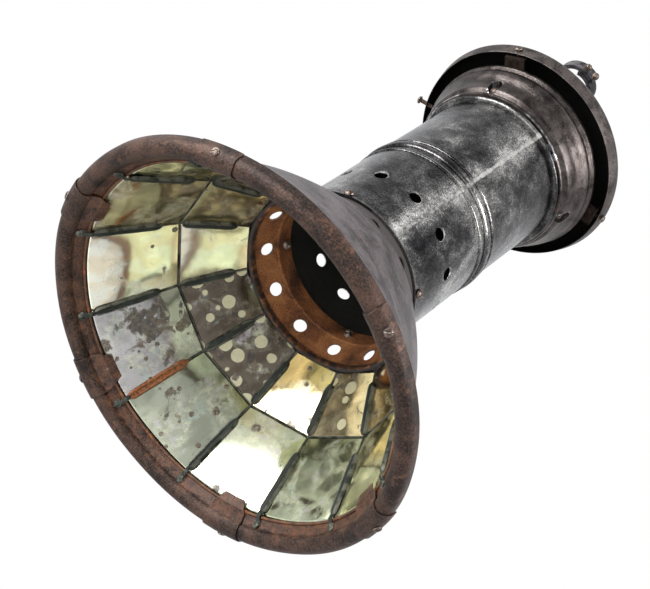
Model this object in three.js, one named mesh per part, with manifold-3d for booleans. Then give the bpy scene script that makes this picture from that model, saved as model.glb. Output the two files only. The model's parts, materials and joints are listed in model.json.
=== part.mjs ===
// Hanging acetylene (carbide) lamp head with a mirrored reflector, in millimetres, +Z up.
// The lamp hangs mouth down, and Z is the axis of every turned piece. -Y is the side with the tube's solder
// seam, and the gas arm with its cock points to +Y. Heights below are measured from the lowest flat of the
// rim's bead. The finished lamp is raised by the clips' thickness, so that its six clips rest on z = 0.
import * as THREE from "three";
import { mergeVertices } from "three/addons/utils/BufferGeometryUtils.js";
import Module from "manifold-3d";

const wasm = await Module();
wasm.setup();

// ---- driving dimensions ----
const GAP = 0.3; // play between pieces that touch
const MOUTH_FACETS = 36; // flats round the rim and the bell
const FACETS = 24; // flats round the tube and the hood
const SMALL_FACETS = 8; // flats round a screw or pipe
const HOLE_FACETS = 10; // flats round a drilled hole

const MOUTH_R = 190.5; // 15 in mouth
const BEAD_R = 8.5; // half-round bead of the rim
const BEAD_STEPS = 7; // odd, so that the middle flat lies level and the lamp can stand on it
const RIM_SHEET = 1.2;
const LIP = { r: 167.5, z: 18.5 }; // inner edge of the rim
const WIRE_R = 1.3; // glass ring
const BAND_FOOT = { r: 173.2, z: 9.6 }; // where the band meets the bead
const RIM_TAIL = 15; // height of the tail that hides the bell's edge

const PANES = 12; // mirrors in each tier
const SEAM_TURN = 6; // degrees from +X to the first seam
const GLASS = 2.2;
const SEAM_GAP = 1.6;
const TIER_BOTTOM = { r: 163.8, z: 23 }; // mirror corners, on the silvered face
const TIER_JOINT = { r: 129.5, z: 95.4 };
const TIER_TOP = { r: 89.9, z: 148 };
const JOINT_GAP = 1.4; // between the tiers

const BELL_SHEET = 1;
const BELL_TOP = { r: 92.4, z: 151.9 };

const TUBE_R = 76.2; // 6 in stove pipe
const TUBE_SHEET = 1.2;
const TUBE_BOTTOM = 178;
const TUBE_JOINT = 288;
const TUBE_TOP = 446;
const TUBE_BEAD = { z: 299.5, r: 78.6, half: 5 };
const THIN_BEAD = { z: 308.4, r: 77.4, half: 2.2 };
const TUBE_STOP = { z: 422.5, r: 81.8, half: 2.4 }; // raised ring that the shoulder sits on
const VENTS = 12; // in the collar, and again in the tube
const VENT_R = 6.35; // 1/2 in air holes
const VENT_TURN = 16.5;
const TUBE_VENT_Z = 231;
const COLLAR_VENT = { r: 78.7, z: 165 };
const COLLAR_CONE = { low: { r: 83, z: 153.4 }, high: { r: 74.8, z: 175.2 } };
const COLLAR_SHEET = 1.5;
const COLLAR_BOLTS = 4;
const COLLAR_BOLT_TURN = 45;
const COLLAR_BOLT_Z = 185;
const BOLT_HOLE_R = 2.6;
const DRILL = { from: 68, to: 84 }; // holes through the tube and the collar's neck are cut between these
const SCREW_HOLE_R = 2.4;

const HOOD_R = 114.6;
const HOOD_Z = 473.3; // lower edge of the hood's rim
const HOOD_TOP = 503.4;
const HOOD_SCREW_Z = 479;
const HOOD_SCREW_TURNS = [-137, -22.3, 100];
const SHOULDER_SCREW_TURNS = [-138, -23.5, 101];
const SHOULDER_SCREW_Z = 438;
const SET_SCREW = { turn: 149, z: 477.5, hole: 2.8 };

// Bent arm that carries the hood: leg and tab are radii, the rest of its places are heights.
const ARM = { width: 22, sheet: 1.8, leg: 92, tab: 106.4, legFoot: 464.2, plate: 470.4, tabTop: 482.4 };
const POCKET = { r: 6.2, floor: 81.6, mouth: 96, reach: 5 }; // obround pocket round each shoulder screw

const CLIPS = 6;
const CLIP_TURN = -13;
const CLIP_ANGLE = 12; // how far a clip reaches round the rim, in degrees
const CLIP_TOP = 14;
const CLIP_SCREW = { tilt: 35, r: 3.9, crown: 2.2, rise: 3.2 }; // tilted below level, on the bead's flank
const CAME = { width: 6.6, height: 3.2, seat: 0.9, web: 0.9, webDepth: 2.6 }; // strip over a seam, and web
const OUTER_STRIP = { from: 0.02, to: 0.76 }; // shares of a tier's slope that its strips cover
const INNER_STRIP = { from: 0.04, to: 0.8 };

const PIVOT_Z = 560;
const FORK_TURN = -21; // degrees from +X to the hanging loop's pin
const LOOP_LEAN = 93; // degrees the loop has swung down from upright, at rest
const LOOP_REACH = 60; // pin to the centre of the arch
const LOOP_R = 16; // inside radius of the arch
const STRAIGHT_END = LOOP_REACH - 12; // each strap runs straight up to here, then bends to its arch
const STRAP = 4.6;
const STRAP_WIDTH = 12.7; // 1/2 in
const PIN_R = 4;
const PIN_BORE_R = PIN_R + GAP;
const EYE_R = 8.2;
const CROWN_SCREWS = [4, 29]; // degrees from the crown towards +X
const CROWN_HOLE_R = 1.9;
const OVERLAP = { left: 12, right: 38 }; // how far each strap runs past the crown, in degrees
const FORK = { reach: LOOP_R - GAP, sheet: 4, r: 8.5, drop: 17 }; // ears just inside the straps' eyes
const PIN_HEAD = { r: 6, rise: 2.4 };
const CROSS_DRILL = 60; // length of a hole that runs right through the fork and both eyes

const HEAD_NUT = { r: 15, height: 8 };
const BLOCK = { r: 12, foot: 509, top: 544, chamfer: { r: 10, z: 541 } };
const SADDLE = { z: 544.5, height: 6 }; // bar that joins the fork's ears
const SIDE_ARM = { r: 8, reach: 22 };
const PIPE_SOCKET = { z: 506, depth: 12 };

const COCK = { y: 46, z: 527 };
const BARREL = { r: 10, top: 9, height: 27 };
const PLUG_R = 5.7;
const LEVER = { r: 4.2, reach: 24, flatten: 0.55, z: 551 };
const PIPE_R = 4.6;
const BURNER_Z = 213;
const STEM = { r: 6, top: 5, height: 9 };
const BURNER_ARM = { r: 3, length: 17, lean: 52, z: 6 }; // leans and heights above the burner's foot
const TIP = { r: 4.2, top: 2.6, length: 13, lean: 38, z: 14.5, spread: 13 };

// ---- materials ----
const paint = (color, roughness, metalness) =>
  new THREE.MeshStandardMaterial({ color, roughness, metalness });
const RUSTY = paint(0x5a3a2c, 0.8, 0.5);
const SHELL_BROWN = paint(0x5f545a, 0.6, 0.6);
const COLLAR_RUST = paint(0x8c4b23, 0.85, 0.3);
const GUNMETAL = paint(0x77787a, 0.35, 0.9);
const CAST_BROWN = paint(0x4b4442, 0.45, 0.8);
const STRAP_GREY = paint(0x55545a, 0.5, 0.8);
const CAME_GREEN = paint(0x333c35, 0.7, 0.5);
const MIRROR = paint(0xb4b98c, 0.1, 1);
const SCREW = paint(0x6a5a4c, 0.5, 0.8);
const BRASS = paint(0x8a7440, 0.4, 0.9);
const STEATITE = paint(0xd8d2c4, 0.8, 0);

// ---- solids ----
const radians = THREE.MathUtils.degToRad;

function toSolid(geometry) {
  const bare = geometry.clone();
  for (const name of ["normal", "uv"]) bare.deleteAttribute(name);
  const merged = mergeVertices(bare, 1e-4);
  const mesh = new wasm.Mesh({
    numProp: 3,
    vertProperties: merged.attributes.position.array,
    triVerts: new Uint32Array(merged.index.array),
  });
  return new wasm.Manifold(mesh);
}

function toGeometry(solid) {
  const { numProp, numVert, vertProperties, triVerts } = solid.getMesh();
  const positions = new Float32Array(numVert * 3);
  for (let i = 0; i < numVert; i++) {
    positions.set(vertProperties.subarray(i * numProp, i * numProp + 3), i * 3);
  }
  const geometry = new THREE.BufferGeometry();
  geometry.setAttribute("position", new THREE.BufferAttribute(positions, 3));
  geometry.setIndex(new THREE.BufferAttribute(triVerts, 1));
  geometry.computeVertexNormals();
  return geometry;
}

const joined = (...pieces) => toGeometry(pieces.map(toSolid).reduce((all, next) => all.add(next)));
const without = (piece, ...tools) =>
  toGeometry(tools.map(toSolid).reduce((all, tool) => all.subtract(tool), toSolid(piece)));
const within = (piece, region) => toGeometry(toSolid(piece).intersect(toSolid(region)));

// Turned piece about Z from a closed outline of [radius, height] points.
function turned(outline, facets = FACETS) {
  const points = outline.map(([r, z]) => new THREE.Vector2(r, z));
  if (THREE.ShapeUtils.area(points) < 0) points.reverse();
  points.push(points[0].clone());
  return new THREE.LatheGeometry(points, facets).rotateX(Math.PI / 2);
}

// Closed outline of bent sheet: the path is one face, and the other lies to its left, one thickness away.
function sheet(path, thickness) {
  const points = path.map(([r, z]) => new THREE.Vector2(r, z));
  const left = (from, to) => new THREE.Vector2(from.y - to.y, to.x - from.x).normalize();
  const other = points.map((point, i) => {
    const before = left(points[Math.max(i - 1, 0)], points[Math.max(i, 1)]);
    const last = points.length - 1;
    const after = left(points[Math.min(i, last - 1)], points[Math.min(i + 1, last)]);
    const middle = before.clone().add(after).normalize();
    const moved = point.clone().addScaledVector(middle, thickness / middle.dot(before));
    return [moved.x, moved.y];
  });
  return [...path, ...other.reverse()];
}

// Points of an arc in the [radius, height] plane, angles in degrees.
function arc(r, z, radius, from, to, steps) {
  return Array.from({ length: steps + 1 }, (_, i) => {
    const angle = radians(from + ((to - from) * i) / steps);
    return [r + radius * Math.cos(angle), z + radius * Math.sin(angle)];
  });
}

// Turns a piece modelled at +X to its place round the axis.
const at = (turn, geometry) => geometry.clone().rotateZ(radians(turn));
const ring = (count, first, make) =>
  Array.from({ length: count }, (_, i) => at(first + (i * 360) / count, make(i)));

// Round bar along +X from radius `from` to radius `to`.
function radialBar(radius, from, to, z, facets = SMALL_FACETS) {
  const bar = new THREE.CylinderGeometry(radius, radius, to - from, facets);
  return bar.rotateZ(-Math.PI / 2).translate((from + to) / 2, 0, z);
}

// Round-head screw along +X: its head's underside is at `seat`, its shank ends at `tip`, a nut is optional.
function radialScrew({ z, seat, tip, shank, head, nut, rise = head * 0.62 }) {
  const dome = new THREE.CylinderGeometry(head * 0.55, head, rise, SMALL_FACETS);
  dome.rotateZ(-Math.PI / 2).translate(seat + rise / 2, 0, z);
  const pieces = [radialBar(shank, tip, seat + rise / 2, z), dome];
  if (nut) pieces.push(radialBar(nut.r, nut.from, nut.to, z, 6));
  const slot = new THREE.BoxGeometry(head * 0.62, head * 3, head * 0.22).translate(seat + rise * 1.06, 0, z);
  return without(joined(...pieces), slot);
}

const lamp = new THREE.Group();
const swingingLoop = new THREE.Group();

function add(name, geometry, material, parent = lamp) {
  const mesh = new THREE.Mesh(geometry, material);
  mesh.name = name;
  parent.add(mesh);
}
const numbered = (name, i) => `${name}_${String(i + 1).padStart(2, "0")}`;

// ---- rim: a half-round bead, a band sloping in to the glass, and a tail that hides the bell's edge ----
const beadZ = BEAD_R * Math.cos(Math.PI / BEAD_STEPS / 2);
const beadCentre = MOUTH_R - BEAD_R;
const clipFlat = beadZ - (BEAD_R + GAP) * Math.cos(Math.PI / BEAD_STEPS / 2) - RIM_SHEET;
const STAND = -clipFlat;

// The bead's flats are centred on its lowest point, so its arc runs through whole flats of a half circle.
function rimRing() {
  const half = arc(beadCentre, beadZ, BEAD_R, 180, 360, BEAD_STEPS);
  const face = [[LIP.r, LIP.z], [BAND_FOOT.r, BAND_FOOT.z], ...half, [MOUTH_R, RIM_TAIL]];
  return turned(sheet(face, RIM_SHEET), MOUTH_FACETS);
}

function glassRing() {
  return turned(arc(LIP.r - 0.5, LIP.z + 1.9, WIRE_R, 0, 300, 5), MOUTH_FACETS);
}

// A clip wraps the bead from outside and ends in a tongue over the glass. Its screw sits on the bead's flank,
// so the clips' level flats are the lowest thing on the lamp.
function clip(turn) {
  const wrap = arc(beadCentre, beadZ, BEAD_R + GAP, 360, 180, BEAD_STEPS);
  const tongue = [[172.6, 9.4], [167, 18], [164.6, 19.6], [157.4, 21.8], [153.2, 31]];
  const plate = turned(sheet([[MOUTH_R + GAP, CLIP_TOP], ...wrap, ...tongue], RIM_SHEET), MOUTH_FACETS);
  const halfWidth = MOUTH_R * Math.tan(radians(CLIP_ANGLE / 2));
  const beyond = MOUTH_R * 1.1;
  const sector = new THREE.Shape([
    new THREE.Vector2(0, 0),
    new THREE.Vector2(MOUTH_R, -halfWidth),
    new THREE.Vector2(beyond, -halfWidth),
    new THREE.Vector2(beyond, halfWidth),
    new THREE.Vector2(MOUTH_R, halfWidth),
  ]);
  const under = 10;
  const region = new THREE.ExtrudeGeometry(sector, { depth: 6 * under, bevelEnabled: false });
  region.translate(0, 0, -under);
  const headOut = BEAD_R + GAP + RIM_SHEET + 0.3; // the middle of the head, from the bead's centre
  const { tilt, r, crown, rise } = CLIP_SCREW;
  const head = new THREE.CylinderGeometry(crown, r, rise, HOLE_FACETS).translate(0, headOut, 0);
  head.rotateZ(-Math.PI / 2).rotateY(radians(tilt)).translate(beadCentre, 0, beadZ);
  return joined(within(plate, at(turn, region)), at(turn, head));
}

// ---- mirrors: flat panes in two tiers, with their silvered faces to the axis ----
const HALF_SECTOR = Math.PI / PANES;

// Frame of a pane or seam at +X: x runs round the lamp, y up the slope, z out through the glass.
function slopeFrame(low, high, flat) {
  const up = new THREE.Vector3((high.r - low.r) * flat, 0, high.z - low.z);
  const length = up.length();
  up.normalize();
  const round = new THREE.Vector3(0, 1, 0);
  const out = new THREE.Vector3().crossVectors(round, up);
  const matrix = new THREE.Matrix4().makeBasis(round, up, out).setPosition(low.r * flat, 0, low.z);
  return { matrix, length };
}

function pane(low, high) {
  const flat = Math.cos(HALF_SECTOR);
  const { matrix, length } = slopeFrame(low, high, flat);
  const halfAt = ({ r }) => r * Math.sin(HALF_SECTOR) - SEAM_GAP / 2;
  const outline = new THREE.Shape([
    new THREE.Vector2(-halfAt(low), 0),
    new THREE.Vector2(halfAt(low), 0),
    new THREE.Vector2(halfAt(high), length),
    new THREE.Vector2(-halfAt(high), length),
  ]);
  return new THREE.ExtrudeGeometry(outline, { depth: GLASS, bevelEnabled: false }).applyMatrix4(matrix);
}

// Point a share of the way along a tier's corner line.
const along = (low, high, share) => ({
  r: THREE.MathUtils.lerp(low.r, high.r, share),
  z: THREE.MathUtils.lerp(low.z, high.z, share),
});

// ---- cames: a ridged strip over each seam, a web between the panes, and a thin ring between the tiers ----
function seamStrip(low, high, { from, to }) {
  const { matrix, length } = slopeFrame(low, high, 1);
  const { width, height, seat, web, webDepth } = CAME;
  const section = new THREE.Shape([
    new THREE.Vector2(-width / 2, seat),
    new THREE.Vector2(-width / 5, height),
    new THREE.Vector2(width / 5, height),
    new THREE.Vector2(width / 2, seat),
  ]);
  const strip = new THREE.ExtrudeGeometry(section, { depth: (to - from) * length, bevelEnabled: false });
  strip.rotateX(-Math.PI / 2).translate(0, from * length, 0);
  const blade = new THREE.BoxGeometry(web, length, webDepth);
  blade.translate(0, length / 2, seat + GAP - webDepth / 2);
  return joined(strip, blade).applyMatrix4(matrix);
}

function cameFrame() {
  const strips = [
    ...ring(PANES, SEAM_TURN, () => seamStrip(TIER_BOTTOM, TIER_JOINT, OUTER_STRIP)),
    ...ring(PANES, SEAM_TURN, () => seamStrip(TIER_JOINT, TIER_TOP, INNER_STRIP)),
  ];
  const { r, z } = TIER_JOINT;
  const ringOutline = [[r - 0.9, z - 0.3], [r + 1.7, z + 0.9], [r + 1.4, z + 1.3], [r - 1.2, z + 0.1]];
  const joint = turned(ringOutline, PANES);
  // A lathe starts its first corner at -Y, a quarter turn before +X.
  return joined(at(SEAM_TURN + 90, joint), ...strips);
}

// ---- bell: spun outer shell ----
function bellShell() {
  const flank = new THREE.SplineCurve([
    new THREE.Vector2(184.5, 17.6),
    new THREE.Vector2(170.5, 37),
    new THREE.Vector2(152.2, 65.2),
    new THREE.Vector2(135.6, 94),
    new THREE.Vector2(115.8, 122.5),
    new THREE.Vector2(BELL_TOP.r + 1.6, BELL_TOP.z - 1.6),
  ]).getPoints(6).map(({ x, y }) => [x, y]);
  const foot = MOUTH_R - RIM_SHEET - GAP;
  const outer = [[foot, 12], [foot, 15.2], ...flank, [BELL_TOP.r, BELL_TOP.z], [84.9, BELL_TOP.z]];
  return turned(sheet(outer, BELL_SHEET), MOUTH_FACETS);
}

// ---- vent collar: flange, cone with air holes, and a neck inside the tube ----
const NECK_R = TUBE_R - TUBE_SHEET - GAP - COLLAR_SHEET;

function collar() {
  const { low, high } = COLLAR_CONE;
  const face = [
    [NECK_R, 193.7],
    [NECK_R, 177],
    [high.r, high.z],
    [low.r, low.z],
    [82.4, 149.1],
    [86.6, 148.9],
  ];
  const bare = turned(sheet(face, COLLAR_SHEET));
  const drill = new THREE.CylinderGeometry(VENT_R, VENT_R, 8 * COLLAR_SHEET, HOLE_FACETS);
  drill.rotateZ(-Math.PI / 2).rotateY(-Math.atan2(low.r - high.r, high.z - low.z));
  drill.translate(COLLAR_VENT.r, 0, COLLAR_VENT.z);
  const boltHole = radialBar(BOLT_HOLE_R, DRILL.from, DRILL.to, COLLAR_BOLT_Z);
  const bolts = ring(COLLAR_BOLTS, COLLAR_BOLT_TURN, () => boltHole);
  return without(bare, ...ring(VENTS, VENT_TURN, () => drill), ...bolts);
}

// ---- tube: two lengths of pipe, the lower one pushed inside the upper one ----
const SPIGOT_TOP = 330;

function tubeLower() {
  const spigot = TUBE_R - TUBE_SHEET - GAP;
  const inner = [
    [spigot - TUBE_SHEET, SPIGOT_TOP],
    [spigot - TUBE_SHEET, TUBE_JOINT + 1],
    [TUBE_R - TUBE_SHEET, TUBE_JOINT - 2],
    [TUBE_R - TUBE_SHEET, TUBE_BOTTOM + 2],
    [TUBE_R - TUBE_SHEET + 0.7, TUBE_BOTTOM],
  ];
  const outer = [
    [TUBE_R + 1.3, TUBE_BOTTOM + 0.4],
    [TUBE_R, TUBE_BOTTOM + 2.6],
    [TUBE_R, TUBE_JOINT - 3.4],
    [TUBE_R + 1.1, TUBE_JOINT - 2.4],
    [TUBE_R + 1.1, TUBE_JOINT - 0.9],
    [spigot, TUBE_JOINT],
    [spigot, SPIGOT_TOP],
  ];
  const vent = radialBar(VENT_R, DRILL.from, DRILL.to, TUBE_VENT_Z, HOLE_FACETS);
  const vents = ring(VENTS, VENT_TURN, () => vent);
  const boltHole = radialBar(BOLT_HOLE_R, DRILL.from, DRILL.to, COLLAR_BOLT_Z);
  const bolts = ring(COLLAR_BOLTS, COLLAR_BOLT_TURN, () => boltHole);
  return without(turned([...inner, ...outer]), ...vents, ...bolts);
}

function tubeUpper() {
  const bead = ({ z, r, half }) => {
    const top = half / 2.4;
    return [[TUBE_R, z - half], [r, z - top], [r, z + top], [TUBE_R, z + half]];
  };
  const outer = [
    [TUBE_R, TUBE_JOINT + GAP],
    ...bead(TUBE_BEAD),
    ...bead(THIN_BEAD),
    ...bead(TUBE_STOP),
    [TUBE_R, TUBE_TOP],
  ];
  const bore = TUBE_R - TUBE_SHEET;
  const inner = [[bore, TUBE_TOP], [bore, TUBE_JOINT + GAP]];
  const hole = radialBar(SCREW_HOLE_R, DRILL.from, DRILL.to, SHOULDER_SCREW_Z);
  return without(turned([...outer, ...inner]), ...SHOULDER_SCREW_TURNS.map((turn) => at(turn, hole)));
}

// ---- shoulder: heavy moulded ring on the tube's top, with three arms that carry the hood ----
function shoulder() {
  const seat = TUBE_R + GAP;
  const body = turned([
    [seat, 425.4],
    [83.6, 425.4],
    [84.3, 427.6],
    [83.3, 429.6],
    [87, 432.6],
    [88.8, 438],
    [90.4, 446],
    [94.6, 453.4],
    [96.3, 459],
    [95.5, 462.2],
    [98.3, 465.6],
    [98.3, 469],
    [96.6, 470.8],
    [94.6, 469],
    [92.6, 458],
    [87.5, 447.6],
    [seat, 447.6],
  ]);
  // Each arm is a bent strip: a leg inside the ring, a level plate over it, a tab behind the hood's rim.
  const armBox = (from, to, low, high) =>
    new THREE.BoxGeometry(to - from, ARM.width, high - low).translate((from + to) / 2, 0, (low + high) / 2);
  const { leg, tab, legFoot, plate, tabTop } = ARM;
  const arm = joined(
    armBox(leg, tab + ARM.sheet, plate, plate + ARM.sheet),
    armBox(tab, tab + ARM.sheet, plate, tabTop),
    armBox(leg, leg + ARM.sheet, legFoot, plate + ARM.sheet),
  );
  const { r, floor, mouth, reach } = POCKET;
  const pocket = joined(
    radialBar(r, floor, mouth, SHOULDER_SCREW_Z - reach / 2, HOLE_FACETS),
    radialBar(r, floor, mouth, SHOULDER_SCREW_Z + reach / 2, HOLE_FACETS),
  );
  const cuts = SHOULDER_SCREW_TURNS.flatMap((turn) => [
    at(turn, pocket),
    at(turn, radialBar(SCREW_HOLE_R, DRILL.from, DRILL.to, SHOULDER_SCREW_Z)),
  ]);
  const armHole = radialBar(SCREW_HOLE_R, tab - ARM.sheet, tab + 2 * ARM.sheet, HOOD_SCREW_Z);
  const armHoles = HOOD_SCREW_TURNS.map((turn) => at(turn, armHole));
  const arms = HOOD_SCREW_TURNS.map((turn) => at(turn, arm));
  return without(joined(body, ...arms), ...cuts, ...armHoles);
}

// ---- hood: shallow cap with a turned-down rim ----
function hood() {
  const outer = [
    [5.8, HOOD_TOP],
    [20, HOOD_TOP],
    [26, 500.6],
    [70, 495.4],
    [110.6, 489.8],
    [HOOD_R - 0.2, 487.2],
    [HOOD_R, 484.6],
    [HOOD_R - 3, HOOD_Z],
  ];
  const drill = (radius, z) => radialBar(radius, HOOD_R - 6, HOOD_R + 6, z);
  const holes = HOOD_SCREW_TURNS.map((turn) => at(turn, drill(SCREW_HOLE_R, HOOD_SCREW_Z)));
  const setHole = at(SET_SCREW.turn, drill(SET_SCREW.hole, SET_SCREW.z));
  return without(turned(sheet(outer.reverse(), 1.5)), ...holes, setHole);
}

// ---- hanging loop: two half straps with an eye each at the foot, overlapping at the crown ----
// It is modelled upright with its pin along X through the origin, its plane in XZ.
// side is +1 or -1; the strap rises from its eye and runs round the arch.
function halfStrap(side, archRadius, archTo) {
  const middle = LOOP_R + STRAP / 2;
  const path = [[middle, 0], [middle, STRAIGHT_END], ...arc(0, LOOP_REACH, archRadius, 0, archTo, 9)];
  const inner = path.map(([x, z], i) => {
    const [x0, z0] = path[Math.max(i - 1, 0)];
    const [x1, z1] = path[Math.min(i + 1, path.length - 1)];
    const length = Math.hypot(x1 - x0, z1 - z0);
    const shift = STRAP / 2 / length;
    return [[x - (z1 - z0) * shift, z + (x1 - x0) * shift], [x + (z1 - z0) * shift, z - (x1 - x0) * shift]];
  });
  const outline = [...inner.map(([a]) => a), ...inner.map(([, b]) => b).reverse()];
  const shape = new THREE.Shape(outline.map(([x, z]) => new THREE.Vector2(side * x, z)));
  const strap = new THREE.ExtrudeGeometry(shape, { depth: STRAP_WIDTH, bevelEnabled: false });
  strap.rotateX(Math.PI / 2).translate(0, STRAP_WIDTH / 2, 0);
  const eye = new THREE.CylinderGeometry(EYE_R, EYE_R, STRAP, 16).rotateZ(Math.PI / 2);
  const bore = new THREE.CylinderGeometry(PIN_BORE_R, PIN_BORE_R, CROSS_DRILL, 16).rotateZ(Math.PI / 2);
  return without(joined(strap, eye.translate(side * middle, 0, 0)), bore);
}

function crownHole(angle) {
  const hole = new THREE.CylinderGeometry(CROWN_HOLE_R, CROWN_HOLE_R, 2 * LOOP_R, SMALL_FACETS);
  hole.rotateX(Math.PI / 2).translate(0, 0, LOOP_R + 2 * STRAP);
  return hole.rotateY(radians(angle)).translate(0, 0, LOOP_REACH);
}

function crownScrew(angle) {
  const seat = LOOP_R + 2 * STRAP + GAP + 0.2;
  const screw = radialScrew({ z: 0, seat, tip: LOOP_R - 1, shank: 1.6, head: 4.1, rise: 5.4 });
  return screw.rotateY(-Math.PI / 2).rotateY(radians(angle)).translate(0, 0, LOOP_REACH);
}

// ---- top fitting: nut on the hood, gas block with a side arm, and a fork for the loop's pin ----
const onPin = (piece) => piece.rotateZ(radians(FORK_TURN)).translate(0, 0, PIVOT_Z);

function headFitting() {
  const nut = new THREE.CylinderGeometry(HEAD_NUT.r, HEAD_NUT.r, HEAD_NUT.height, 6).rotateX(Math.PI / 2);
  nut.translate(0, 0, HOOD_TOP + GAP + HEAD_NUT.height / 2);
  const { foot, top, chamfer } = BLOCK;
  const block = turned([[0, foot], [BLOCK.r, foot], [BLOCK.r, chamfer.z], [chamfer.r, top], [0, top]], 16);
  const arm = new THREE.CylinderGeometry(SIDE_ARM.r, SIDE_ARM.r, SIDE_ARM.reach, 16);
  arm.translate(0, SIDE_ARM.reach / 2, COCK.z);
  const { reach, sheet, r, drop } = FORK;
  const saddle = new THREE.BoxGeometry(2 * reach, 2 * r, SADDLE.height);
  saddle.rotateZ(radians(FORK_TURN)).translate(0, 0, SADDLE.z);
  const ears = [-1, 1].map((side) => {
    const plate = new THREE.BoxGeometry(sheet, 2 * r, drop).translate(0, 0, -drop / 2);
    const round = new THREE.CylinderGeometry(r, r, sheet, 16).rotateZ(Math.PI / 2);
    return onPin(joined(plate, round).translate(side * (reach - sheet / 2), 0, 0));
  });
  const bore = new THREE.CylinderGeometry(PIN_BORE_R, PIN_BORE_R, CROSS_DRILL, 16);
  const pinHole = onPin(bore.rotateZ(Math.PI / 2));
  const socket = new THREE.CylinderGeometry(PIPE_R + GAP, PIPE_R + GAP, PIPE_SOCKET.depth, SMALL_FACETS);
  socket.rotateX(Math.PI / 2).translate(0, 0, PIPE_SOCKET.z);
  return without(joined(nut, block, arm, saddle, ...ears), pinHole, socket);
}

function loopPin() {
  const headSeat = LOOP_R + STRAP + GAP;
  const pin = new THREE.CylinderGeometry(PIN_R, PIN_R, 2 * headSeat + PIN_HEAD.rise, 16);
  const heads = [-1, 1].map((side) => {
    const head = new THREE.CylinderGeometry(PIN_HEAD.r, PIN_HEAD.r, PIN_HEAD.rise, 16);
    return head.translate(0, side * (headSeat + PIN_HEAD.rise / 2), 0);
  });
  return onPin(joined(pin, ...heads).rotateZ(Math.PI / 2));
}

// ---- gas cock in the side arm: the body ends in a ribbed hose nozzle, the key turns in its barrel ----
function cockBody() {
  const run = turned([
    [0, 22.4], [10, 22.4], [10, 29], [6.6, 31], [6.6, 62], [9.4, 64], [9.4, 69], [5.4, 71],
    [6.8, 76], [5.2, 77], [6.8, 83], [5.2, 84], [6.8, 90], [5, 94], [2.4, 94], [2.4, 70], [0, 70],
  ], 12).rotateX(-Math.PI / 2).translate(0, 0, COCK.z);
  const upright = (top, foot, height) =>
    new THREE.CylinderGeometry(top, foot, height, 16).rotateX(Math.PI / 2).translate(0, COCK.y, COCK.z);
  const barrel = upright(BARREL.top, BARREL.r, BARREL.height);
  const plugHole = upright(PLUG_R + GAP, PLUG_R + GAP, 2 * BARREL.height);
  return without(joined(run, barrel), plugHole);
}

function cockKey() {
  const retainer = [[0, 508.6], [7.4, 508.6], [7.4, 513.1]];
  const plug = [[PLUG_R, 513.1], [PLUG_R, 541]];
  const shoulderAndNeck = [[7, 541], [7, 544], [4, 546], [4, 549], [0, 549]];
  const key = turned([...retainer, ...plug, ...shoulderAndNeck], 16).translate(0, COCK.y, 0);
  const lever = new THREE.CapsuleGeometry(LEVER.r, LEVER.reach, 3, 10).rotateZ(Math.PI / 2);
  return joined(key, lever.scale(1, LEVER.flatten, 1).translate(0, COCK.y, LEVER.z));
}

// ---- gas pipe: down the axis, aside, and back up under the burner so that the flame burns upright ----
function gasPipe() {
  const route = new THREE.CatmullRomCurve3([
    new THREE.Vector3(0, 0, 509.5),
    new THREE.Vector3(0, 0, 430),
    new THREE.Vector3(0, 0, 350),
    new THREE.Vector3(0, -8, 315),
    new THREE.Vector3(0, -26, 285),
    new THREE.Vector3(0, -33, 255),
    new THREE.Vector3(0, -32, 220),
    new THREE.Vector3(0, -25, 203),
    new THREE.Vector3(0, -13, 196.5),
    new THREE.Vector3(0, -3, 200.5),
    new THREE.Vector3(0, 0, 207.5),
    new THREE.Vector3(0, 0, BURNER_Z),
  ]);
  const section = new THREE.Shape().absarc(0, 0, PIPE_R, 0, 2 * Math.PI);
  const options = { steps: 40, curveSegments: 4, extrudePath: route, bevelEnabled: false };
  return new THREE.ExtrudeGeometry(section, options);
}

// Y-shaped burner: two tips lean together, so that their jets meet in one flat flame.
function burner() {
  const upright = (radius, top, length, facets) =>
    new THREE.CylinderGeometry(top, radius, length, facets).rotateX(Math.PI / 2).translate(0, 0, length / 2);
  const stem = upright(STEM.r, STEM.top, STEM.height, 12).translate(0, 0, BURNER_Z + GAP);
  const arms = [-1, 1].flatMap((side) => {
    const arm = upright(BURNER_ARM.r, BURNER_ARM.r, BURNER_ARM.length, 10);
    const tip = upright(TIP.r, TIP.top, TIP.length, 12).rotateY(radians(-side * TIP.lean));
    return [
      arm.rotateY(radians(side * BURNER_ARM.lean)).translate(0, 0, BURNER_Z + BURNER_ARM.z),
      tip.translate(side * TIP.spread, 0, BURNER_Z + TIP.z),
    ];
  });
  return joined(stem, ...arms);
}

// ---- assembly ----
add("rim_ring", rimRing(), RUSTY);
add("glass_ring", glassRing(), RUSTY);
for (let i = 0; i < CLIPS; i++) {
  add(numbered("rim_clip", i), clip(CLIP_TURN + (i * 360) / CLIPS), RUSTY);
}

const tierSlope = (low, high) => Math.hypot(high.r - low.r, high.z - low.z);
const outerTop = along(TIER_JOINT, TIER_BOTTOM, JOINT_GAP / 2 / tierSlope(TIER_JOINT, TIER_BOTTOM));
const innerBottom = along(TIER_JOINT, TIER_TOP, JOINT_GAP / 2 / tierSlope(TIER_JOINT, TIER_TOP));
const firstPane = SEAM_TURN + 180 / PANES;
ring(PANES, firstPane, () => pane(TIER_BOTTOM, outerTop)).forEach((geometry, i) =>
  add(numbered("mirror_outer", i), geometry, MIRROR),
);
ring(PANES, firstPane, () => pane(innerBottom, TIER_TOP)).forEach((geometry, i) =>
  add(numbered("mirror_inner", i), geometry, MIRROR),
);
add("came_frame", cameFrame(), CAME_GREEN);

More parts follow.
